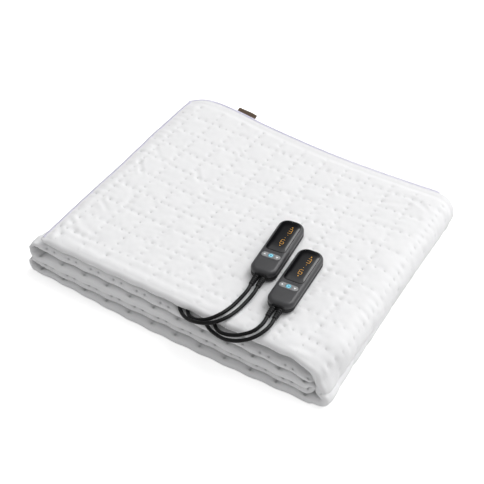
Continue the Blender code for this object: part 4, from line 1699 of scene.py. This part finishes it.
    def quilting(self, column: np.ndarray, row: np.ndarray) -> tuple[np.ndarray, np.ndarray]:
        """Height of the quilted face over its backing, and how much painted shade each point gets
        near a sewn dot.

        Args:
            column: Position across in squares; whole numbers are sewn lines.
            row: Position front to back in squares.

        Returns:
            Height in metres, and a share from 0 to 1.
        """
        off_c, off_r = column - np.round(column), row - np.round(row)
        third_c, third_r = column - np.round(3 * column) / 3, row - np.round(3 * row) / 3
        line = np.minimum(np.abs(off_c), np.where(row < -0.5, 1.0, np.abs(off_r))) * self.cell
        dot = np.minimum(np.hypot(off_c, third_r), np.hypot(third_c, off_r)) * self.cell
        s = SURFACE
        pull = 1.0 + s.uneven * self.middle(np.round(3 * column) * 1.7, np.round(3 * row) * 2.3)
        pull = pull * (1.0 - s.slack * ease(column, *s.slack_columns))
        height = (s.puff * (1.0 - s.swell * bump(line, s.line_reach))
                  - pull * (s.stitch * bump(dot, s.stitch_reach)
                            + s.stitch_pull * bump(dot, s.pull_reach)))
        return height, s.stitch_shade * np.clip(pull, 0.4, 1.2) * bump(dot, s.shade_reach)

    def quilted_relief(self, station: Station, column: np.ndarray, row: np.ndarray,
                       y: np.ndarray) -> tuple[np.ndarray, np.ndarray]:
        """How far points of an upper face stand out, and how much painted shade they get.

        Args:
            station: Where the section is.
            column: Position across in squares.
            row: Position front to back in squares.
            y: Place front to back.

        Returns:
            Distances along the outward normal, and the share of painted shade.
        """
        s = SURFACE
        top = station.layer == "top"
        # The second value is painted shade in the dots' hollows.
        height, sewn = self.quilting(column, row)
        near_line = 1.0 - bump(np.minimum(np.abs(column - np.round(column)),
                                          np.abs(row - np.round(row))) * self.cell, s.tuft_reach)
        height = (height + self.fine_noise(column * 6.1, row * 6.1) * s.tuft * (1.15 - near_line)
                  + self.middle(column * 8.3 + 3, row * 3.9) * s.speckle
                  + self.middle(column * 1.6 + 7, row * 1.6) * s.sag)
        from_front, from_back = y - station.front, station.back - y
        from_bound = station.x - self.top_end
        edge = float(ease(from_bound, 0.0, s.bound_fade)) if top else 1.0
        flat = edge * ease(from_front, *s.front_fade) * ease(from_back, *s.back_fade)
        rise = (height * flat - s.hem * edge * bump(from_back - s.hem_line[0], s.hem_line[1])
                + s.ripple * self.pucker(column * 6.0, row * 0.7 + 3)
                * bump(np.maximum(from_back, 0.0), s.ripple_reach))
        if top:
            gather = self.pucker(column * 0.8, row * 7.0) * bump(
                from_bound - s.gather_line[0], s.gather_line[1])
            rise = rise + s.gather * gather + self.pulled(station.x, y)
        return rise, sewn * flat

    def nose_relief(self, station: Station, column: np.ndarray, around: np.ndarray
                    ) -> tuple[np.ndarray, np.ndarray]:
        """How far points of the front fold stand out, and how much painted shade they get.

        Args:
            station: Where the section is.
            column: Position across in squares.
            around: Angle round the fold in degrees, 0 at its front.

        Returns:
            Distances along the outward normal, and the share of painted shade.
        """
        wave = self.broad(column * 0.9 + 5 * len(station.layer),
                          np.full(len(column), station.z * 60))
        rise = np.cos(np.radians(around)) * (
            SURFACE.nose_wave * wave + SURFACE.nose_swell * np.cos(2 * math.pi * (column - 0.4)))
        dent_shade = np.zeros(len(column))
        dots = FRONT_DOTS.get(station.layer)
        if dots:
            ridge, ridge_reach = SURFACE.ridge_angle
            rise = rise + SURFACE.nose_ridge * bump(
                around + math.copysign(ridge, dots.angle), ridge_reach)
            climb = (around - dots.angle) / 180.0 * math.pi * station.half
            for phase in dots.phases:
                off = column - phase
                gap = np.hypot((off - np.round(off)) * self.cell / dots.spread, climb)
                rise = rise - (SURFACE.nose_dot * bump(gap, SURFACE.dot_reach)
                               + SURFACE.nose_pull * bump(gap, SURFACE.nose_pull_reach))
                # Painted shade in each dot's hollow; on third and bottom, painted shadow under the
                # layer above.
                dent_shade = np.maximum(dent_shade, SURFACE.dot_shade * bump(gap, SURFACE.dot_shade_reach))
        return rise, dent_shade

    def relief(self, station: Station, ring: dict[str, np.ndarray]
               ) -> tuple[np.ndarray, np.ndarray]:
        """How far each point of a section stands out, and how much painted shade it gets.

        Args:
            station: Where the section is.
            ring: Its arrays.

        Returns:
            Distances along the outward normal, and the share of painted shade.
        """
        column, row = np.full(len(ring["u"]), station.column), ring["row"]
        if station.on_top:
            column = column - self.wander(self.sways, station.x, row) / self.cell
        around = (ring["u"] - 0.5) * 180.0
        nose, upper, under = (ring["face"] == face for face in (0, 1, 3))
        rise, dent_shade = (np.where(nose, part, 0.0)
                      for part in self.nose_relief(station, column, around))
        if station.fine:
            rise, dent_shade = (np.where(upper, part, other) for part, other in
                          zip(self.quilted_relief(station, column, row, ring["y"]), (rise, dent_shade)))
        inner = np.where(nose, 0.5 - 0.5 * np.sin(np.radians(around)), under.astype(float))
        wrinkle = np.sin(2 * math.pi * (station.column * self.cell / SURFACE.wrinkle_pitch
                                        + 0.5 * self.broad(row * 1.3, column * 2.0)))
        return rise + SURFACE.loop_wrinkle * station.loop * inner * wrinkle, dent_shade

    def pulled(self, x: float, y: np.ndarray) -> np.ndarray:
        """Depth of the pull wrinkles at points of the top layer.

        Args:
            x: The points' place across.
            y: Their places front to back.

        Returns:
            Each point's height, which is mostly below 0.
        """
        depth = np.zeros(len(y))
        for crease in self.creases:
            start, end = np.array(crease.start), np.array(crease.end)
            span = end - start
            length = float(np.hypot(*span))
            along = ((x - start[0]) * span[0] + (y - start[1]) * span[1]) / length
            off = ((x - start[0]) * span[1] - (y - start[1]) * span[0]) / length
            beyond = np.maximum(np.maximum(-along, along - length), 0.0)
            banks = bump(np.abs(off) - 2.0 * crease.width, crease.width)
            shape = bump(off, crease.width) - SURFACE.crease_bank * banks
            depth = depth - crease.depth * shape * bump(beyond, SURFACE.crease_beyond)
        return depth

    # --- assembly

    def stitch(self, near: np.ndarray, near_at: int, far: np.ndarray, far_at: int
               ) -> list[tuple[int, ...]]:
        """Faces of the strip between two rings, which may be divided differently.

        Args:
            near: Ring coordinates of the first ring.
            near_at: Index of its first vertex.
            far: Ring coordinates of the second ring.
            far_at: Index of its first vertex.

        Returns:
            The strip's faces.
        """
        if len(near) == len(far):
            count = len(near)
            return [(near_at + i, near_at + (i + 1) % count, far_at + (i + 1) % count, far_at + i)
                    for i in range(count)]
        faces = []
        i = j = 0
        lap = 4.0
        while i < len(near) or j < len(far):
            next_i = near[i + 1] if i + 1 < len(near) else lap + near[0]
            next_j = far[j + 1] if j + 1 < len(far) else lap + far[0]
            a, b = near_at + i % len(near), far_at + j % len(far)
            if j >= len(far) or (i < len(near) and next_i <= next_j):
                faces.append((a, near_at + (i + 1) % len(near), b))
                i += 1
            else:
                faces.append((a, far_at + (j + 1) % len(far), b))
                j += 1
        return faces

    def build(self) -> Piece:
        """Make the quilted cloth.

        Returns:
            Its object.
        """
        stations = self.stations()
        headings = directions(np.array([(station.x, station.z) for station in stations]))
        points, faces, reliefs, maps = [], [], [], []
        before: tuple[np.ndarray, int] = (np.empty(0), 0)
        for station, (dx, dz) in zip(stations, headings):
            ring = self.section(station)
            start, u, y = len(points), ring["u"], ring["y"]
            x = station.x + dz * ring["height"]
            z = station.z - dx * ring["height"]
            if station.layer == "top":
                share = self.pocket_share(station.x, y)
                z = z + (self.crown * share + np.where(ring["face"] == 3, self.hollow * share, 0.0))
            inward, down = self.corner_fall(x, y, z)
            points.extend(zip(x + self.drift(station, x, y, z) + inward, y, z + down))
            reliefs.append(self.relief(station, ring))
            maps.append(np.column_stack([np.full(len(u), station.column * self.cell),
                                         ring["row"] * self.cell]))
            if start:
                faces += self.stitch(*before, u, start)
            else:
                faces.append(tuple(range(len(u) - 1, -1, -1)))
            before = (u, start)
        faces.append(tuple(range(before[1], len(points))))
        piece = mesh_piece("quilted_cloth", np.array(points), faces)
        self.raise_relief(piece, *(np.concatenate(part) for part in zip(*reliefs)),
                          np.vstack(maps))
        log.info("cloth: %d stations, %d faces", len(stations), len(piece.data.polygons))
        return dress(piece, Finish.CLOTH, BODY, "cloth", "blanket")

    def raise_relief(self, piece: Piece, rises: np.ndarray, dents: np.ndarray,
                     maps: np.ndarray) -> None:
        """Move each point out along its normal and keep the painted shade and the map.

        Args:
            piece: The cloth.
            rises: How far each point moves out.
            dents: How much painted shade each point gets, in its hollows and under a layer above.
            maps: Each point's place on the flat cloth.
        """
        mesh = piece.data
        count = len(mesh.vertices)
        spots = np.empty(count * 3)
        normals = np.empty(count * 3)
        mesh.vertices.foreach_get("co", spots)
        mesh.vertex_normals.foreach_get("vector", normals)
        moved = spots.reshape(-1, 3) + normals.reshape(-1, 3) * rises[:, None]
        moved[:, 2] = np.maximum(moved[:, 2], 0.0)
        mesh.vertices.foreach_set("co", moved.ravel())
        # Painted shade: kept as a point attribute that darkens the cloth's colour.
        sewn = mesh.attributes.new("dent_shade", "FLOAT", "POINT")
        sewn.data.foreach_set("value", dents)
        layer = mesh.uv_layers.new(name="cloth")
        corners = np.empty(len(mesh.loops), dtype=int)
        mesh.loops.foreach_get("vertex_index", corners)
        layer.data.foreach_set("uv", maps[corners].ravel())
        mesh.update()

    # --- sewing

    def edge_path(self) -> np.ndarray:
        """Middle line of the bound edge: the free left edge, its corner and the back rim.

        Returns:
            The line's points, one a row.
        """
        top = self.top_run()
        last = top[-1]
        held = replace(last, x=last.x + self.bound_middle)
        path = [(held, y, last.z) for y in np.arange(last.front + 0.003, last.back - 0.001, 0.004)]
        for station in reversed(top):
            rim = (station.half + min(self.lip_upper, station.half - self.least_ply)) / 2
            thick = float(ease(station.x, self.top_end, self.top_end + self.bound_fade))
            path.append((station, station.back - self.wrap_in, station.z + rim * thick))
        return np.array([(at.x + float(self.drift(at, np.array(at.x), np.array(y), np.array(z))),
                          y, z) for at, y, z in path])

    def build_overlock(self) -> Piece:
        """Make the thread wrapped round the bound edge.

        Returns:
            Its object.
        """
        path = evenly(self.edge_path(), self.wrap_step)
        up = np.array([0.0, 0.0, 1.0])
        angle = 2 * math.pi * run_lengths(path) / self.wrap_pitch
        half = self.wrap_half + self.wrap_grow * ease(path[:, 0], self.top_end,
                                                      self.top_end + self.bound_fade)
        coil = (path + np.cross(directions(path), up) * (np.cos(angle) * self.wrap_out)[:, None]
                + up * (np.sin(angle) * half + self.wrap_up)[:, None])
        take(strand("overlock_edge", coil, self.thread, 0))
        bpy.ops.object.convert(target="MESH")
        piece = settle(bpy.context.object, "overlock_edge", Matrix.Identity(4), None)
        return dress(piece, Finish.THREAD, BODY, "cloth")


@dataclass
class Label:
    """The folded tape label in the back seam of the top layer, which lifts as it leaves it."""

    x: float = -0.1345
    length: float = 0.0376
    out: float = 0.0125
    flat: float = 0.0014
    depth: float = 0.0035
    turn: float = -8.5
    rise: float = 36.0
    ply: float = 0.0003
    ripple: float = 0.05
    ripples: float = 150.0

    def build(self, blanket: Blanket) -> Piece:
        """Make the tape, folded at its outer edge with both ends in the seam.

        Args:
            blanket: The cloth that it is sewn into.

        Returns:
            The label.
        """
        z, seam = blanket.level("top", self.x)[0], blanket.edges("top", self.x)[1]
        middle = z + (blanket.lip_upper + blanket.lip_lower) / 2
        climb = math.radians(self.rise)
        clear_selection()
        bpy.ops.mesh.primitive_grid_add(x_subdivisions=24, y_subdivisions=36, size=1.0)
        tape = bpy.context.object
        for vertex in tape.data.vertices:
            across, along = vertex.co.x * self.length, vertex.co.y
            reach = -self.depth + (self.out + self.depth) * (1.0 - abs(along) * 2.0)
            free = max(0.0, reach - self.flat)
            wave = self.ripple * free * math.sin(across * self.ripples + 0.6)
            apart = math.copysign(min(1.0, abs(along) * 9.0) ** 0.5, along) * self.ply
            vertex.co = (across, min(reach, self.flat) + free * math.cos(climb),
                         free * math.sin(climb) + wave + apart)
        apply_modifier(tape, "SOLIDIFY", thickness=self.ply * 0.8, offset=0.0)
        place = (Matrix.Translation((self.x, seam, middle))
                 @ Matrix.Rotation(math.radians(self.turn), 4, "Z"))
        log.info("label")
        return dress(settle(tape, "tape_label", place, 60.0), Finish.LABEL, BODY, "label", "label")


# --- the hand controls


def bar(x: float, y: float, width: float, length: float) -> Piece:
    """A thin flat bar round a point at height 0."""
    return plain_block((width, length, SIZES.mark_thick), (x, y, 0.0))


def arrow(x: float, y: float, size: float, way: int) -> Piece:
    """A small flat arrowhead that points along +Y or -Y."""
    return rod(3, size / 2, SIZES.mark_thick, (x, y, 0.0), (0.0, 0.0, 0.0 if way > 0 else math.pi))


def dot(x: float, y: float, radius: float) -> Piece:
    """A small flat round dot."""
    return rod(16, radius, SIZES.mark_thick, (x, y, 0.0))


def ring(x: float, y: float, radius: float, width: float) -> Piece:
    """A thin flat ring, whose radius is that of its middle line.

    Args:
        x: Its middle across.
        y: Its middle along the handset.
        radius: Its radius.
        width: Its width.

    Returns:
        The ring.
    """
    outer, hole = dot(x, y, radius + width / 2), dot(x, y, radius - width / 2)
    hole.scale.z = 3.0
    take(hole)
    combine(outer, bake_place(hole), "DIFFERENCE")
    return outer


def digit(bars: str, x: float, y: float) -> list[Piece]:
    """A digit in seven-segment style.

    Args:
        bars: The letters of its lit bars, a to g.
        x: Its middle across.
        y: Its middle along the handset.

    Returns:
        Its bars.
    """
    wide, high, thick = 0.0050, 0.0090, 0.0006
    lying, upright = (wide - thick, thick), (thick, high / 2 - thick)
    places = {"a": (0.0, high / 2, lying), "g": (0.0, 0.0, lying), "d": (0.0, -high / 2, lying),
              "b": (wide / 2, high / 4, upright), "c": (wide / 2, -high / 4, upright),
              "e": (-wide / 2, -high / 4, upright), "f": (-wide / 2, high / 4, upright)}
    return [bar(x + places[letter][0], y + places[letter][1], *places[letter][2])
            for letter in bars]


@dataclass
class Handset:
    """A hand control: two shells, a raised window with its display, three keys, two boots."""

    spot: HandsetPlace
    # The window's dome: how much each ring shrinks and how far it rises.
    dome: Sequence[tuple[float, float]] = (
        (0.90, 0.00055), (0.93, 0.00022), (0.90, 0.00012), (0.75, 0.00008))
    groove: float = 0.64

    def named(self, piece: str) -> str:
        """The piece's name with this handset's number."""
        return piece + "_" + self.spot.number

    def finished(self, piece: Piece, name: str, finish: Finish, slot: str, body: str = BODY,
                 node: str | None = None, smooth: float = 35.0) -> None:
        """Place and dress a piece.

        Args:
            piece: The modelled object, in the handset's own axes.
            name: Its name without the number.
            finish: Its finish.
            slot: A material slot name, passed on to dress.
            body: The body it moves with.
            node: The node it stands for, without the number, if any.
            smooth: Smoothing angle in degrees.
        """
        settle(piece, self.named(name), self.spot.matrix(), smooth)
        dress(piece, finish, body, slot, *([self.named(node)] if node else []))

    def lay_marks(self, marks: Sequence[Piece], name: str, height: float, finish: Finish,
                  slot: str, body: str = BODY) -> None:
        """Join thin marks into one piece that lies on a surface.

        Args:
            marks: The marks, round z = 0.
            name: The piece's name without the number.
            height: Z of the surface in the handset's axes.
            finish: Their finish.
            slot: A material slot name, passed on to finished.
            body: The body they move with.
        """
        take(marks[0])
        for mark in marks:
            mark.select_set(True)
        if len(marks) > 1:
            bpy.ops.object.join()
        joined = bake_place(bpy.context.view_layer.objects.active)
        joined.data.transform(Matrix.Translation((0.0, 0.0, height + SIZES.mark_lift)))
        self.finished(joined, name, finish, slot, body, smooth=20.0)

    def pill(self, margin: float, low: float, high: float) -> Piece:
        """A block of the keys' shared outline, grown by a margin, from low to high.

        Args:
            margin: How much wider it is on each side.
            low: Z of its underside.
            high: Z of its top.

        Returns:
            The block.
        """
        s = SIZES
        width = s.pill_width + 2 * margin
        return rounded_block((s.pill_length + 2 * margin, width, high - low),
                             (0.0, s.pill_y, (high + low) / 2), width / 2 - TINY * 10)

    def build_shells(self) -> None:
        """Lower tub and upper cover, with the seats of the window and the keys."""
        s = SIZES
        lower = rounded_block((s.width, s.length, s.parting), (0.0, 0.0, s.parting / 2),
                              s.far_corner, s.near_corner)
        soften_rim(lower, 0.0, 0.0036, 6)
        soften_rim(lower, s.parting, 0.0003, 2)
        self.finished(lower, "tub", Finish.BLACK, "black", node="lower_shell")
        base = s.parting + s.clear
        upper = rounded_block((s.width, s.length, s.height - base),
                              (0.0, 0.0, (s.height + base) / 2), s.far_corner, s.near_corner)
        soften_rim(upper, s.height, 0.0052, 10)
        soften_rim(upper, base, 0.0003, 2)
        seat = rounded_block((s.lens_width + 2 * s.clear, s.lens_length + 2 * s.clear, 0.004),
                             (0.0, s.lens_y, s.height - s.lens_seat + 0.002),
                             s.lens_far_corner + s.clear, s.lens_near_corner + s.clear)
        combine(upper, seat, "DIFFERENCE")
        floor = s.height + s.key_proud - s.key_thick - s.key_travel - s.clear
        combine(upper, self.pill(s.key_gap, floor, s.height + 0.003), "DIFFERENCE")
        self.finished(upper, "cover", Finish.SHELL, "shell", node="upper_shell")

    def build_window(self) -> None:
        """The raised, gently domed window and the marks of its display."""
        s = SIZES
        base, top = s.height - s.lens_seat + s.clear, s.height + s.lens_proud
        rim = top - sum(rise for _, rise in self.dome)
        lens = rounded_block((s.lens_width, s.lens_length, rim - base),
                             (0.0, s.lens_y, (rim + base) / 2), s.lens_far_corner,
                             s.lens_near_corner, 14)
        soften_rim(lens, rim, 0.0009, 6)
        choose(lens, "FACE", lambda middle, normal: normal.z > 0.999)
        for share, rise in self.dome:
            bpy.ops.mesh.extrude_region_move(TRANSFORM_OT_translate={"value": (0.0, 0.0, rise)})
            bpy.ops.transform.resize(value=(share, share, 1.0),
                                     center_override=(0.0, s.lens_y, 0.0))
        bpy.ops.object.mode_set(mode="OBJECT")
        self.finished(lens, "window", Finish.LENS, "lens", node="lens")
        marks = [*digit("abcdg", 0.0040, 0.0318), *digit("acdefg", 0.0030, 0.0072),
                 arrow(0.0042, 0.0400, 0.0030, 1), arrow(0.0028, -0.0010, 0.0026, -1),
                 dot(0.0042, 0.0230, 0.0005), dot(0.0030, 0.0165, 0.0005)]
        self.lay_marks(marks, "display", top, Finish.AMBER, "lens")

    def build_key(self, label: str, cuts: Sequence[tuple[float, int]], rim: float, steps: int,
                  marks: Sequence[tuple[Piece, str, float, Finish]]) -> None:
        """One key's cap and its marks.

        Args:
            label: Which key it is.
            cuts: Places across the shared pill and the side of each that is cut away.
            rim: Width of its upper rounding.
            steps: That rounding's facets.
            marks: Each mark, its name, how far it is lifted and its finish.
        """
        s = SIZES
        top = s.height + s.key_proud
        key = self.pill(0.0, top - s.key_thick, top)
        for x, way in cuts:
            choose(key, "FACE", lambda middle, normal: True)
            bpy.ops.mesh.bisect(plane_co=(x, 0.0, 0.0), plane_no=(way, 0.0, 0.0), use_fill=True,
                                clear_outer=True)
            bpy.ops.object.mode_set(mode="OBJECT")
        soften_rim(key, top, rim, steps)
        node = "key_" + label
        self.finished(key, "cap_" + label, Finish.KEY, "key", self.named(node), node)
        for mark, name, lift, finish in marks:
            self.lay_marks([mark], name, top + lift, finish, "key", self.named(node))

    def build_keys(self) -> None:
        """Three keys that share one pill, with their marks."""
        s = SIZES
        inner = s.power_key / 2
        for side in Side:
            way, label = side.value, side.name.lower()
            near = way * (inner + s.key_gap)
            mark = arrow((near + way * s.pill_length / 2) / 2, s.pill_y, 0.0040, -way)
            self.build_key(label, [(near, -way)], 0.00055, 4,
                           [(mark, "mark_" + label, 0.0, Finish.WHITE)])
        self.build_key("power", [(inner, 1), (-inner, -1)], 0.0004, 3, [
            (dot(0.0, s.pill_y, 0.0036), "power_glow", 0.0, Finish.BLUE),
            (ring(0.0, s.pill_y, 0.0022, 0.0007), "power_ring", 0.00004, Finish.PALE_BLUE)])

    def boot_sections(self) -> list[tuple[float, float, float]]:
        """The boot's outline along its length: collars with grooves between them.

        Returns:
            Distance along -Y, half width and half height of each section.
        """
        s = SIZES
        steps, width = s.boot_steps, s.boot_length / s.boot_steps
        sections = []
        for step in range(steps + 1):
            share = step / steps
            run, half = share * s.boot_length, part_way(s.boot_wide, s.boot_narrow, share) / 2
            grooved = step % 2 == 1 and step < steps
            half *= self.groove if grooved else 1.0
            edge = half * (1.0 if grooved else 0.97)
            if step == 0:
                sections += [(0.0, half * 0.94, half * 0.94), (width * 0.1, half, half),
                             (width * 0.8, half, half)]
            elif step == steps:
                sections += [(run, edge, edge), (run + width * 0.3, half * 0.82, half * 0.82)]
            else:
                sections += [(run, edge, half), (run + width * 0.15, half, half),
                             (run + width * 0.65, half, half), (run + width * 0.8, edge, half)]
        return sections

    def build_boots(self) -> None:
        """Two ribbed boots where the leads leave, with rails that turn the grooves into slits."""
        s = SIZES
        depth = s.boot_narrow / 2 * 0.93
        for side in Side:
            boot = pulled_out(self.boot_sections(), 28, 0.5)
            for across, up in ((1, 0), (-1, 0), (0, 1), (0, -1)):
                rail = plain_block(
                    (depth if across else s.rail, s.boot_length * 0.94, depth if up else s.rail),
                    (across * depth / 2, -s.boot_length / 2, up * depth / 2))
                combine(boot, rail, "UNION")
            boot.data.transform(Matrix.Translation(
                (side.value * s.boot_spread, -s.length / 2 - s.clear, s.boot_height)))
            label = side.name.lower()
            self.finished(boot, "boot_sleeve_" + label, Finish.BLACK, "black",
                          node="boot_" + label, smooth=25.0)

    def build(self) -> None:
        """Make the whole hand control."""
        self.build_shells()
        self.build_window()
        self.build_keys()
        self.build_boots()
        log.info("handset %s", self.spot.number)


# --- everything


def main() -> None:
    """Build the studio and then the object, piece by piece."""
    logging.basicConfig(level=logging.INFO, format="%(name)s: %(message)s")
    Studio().build()
    for lead in make_leads():
        lead.build()
    blanket = Blanket()
    cloth = blanket.build()
    overlock = blanket.build_overlock()
    label = Label().build(blanket)
    for place in PLACES:
        Handset(place).build()


if __name__ == "__main__":
    main()
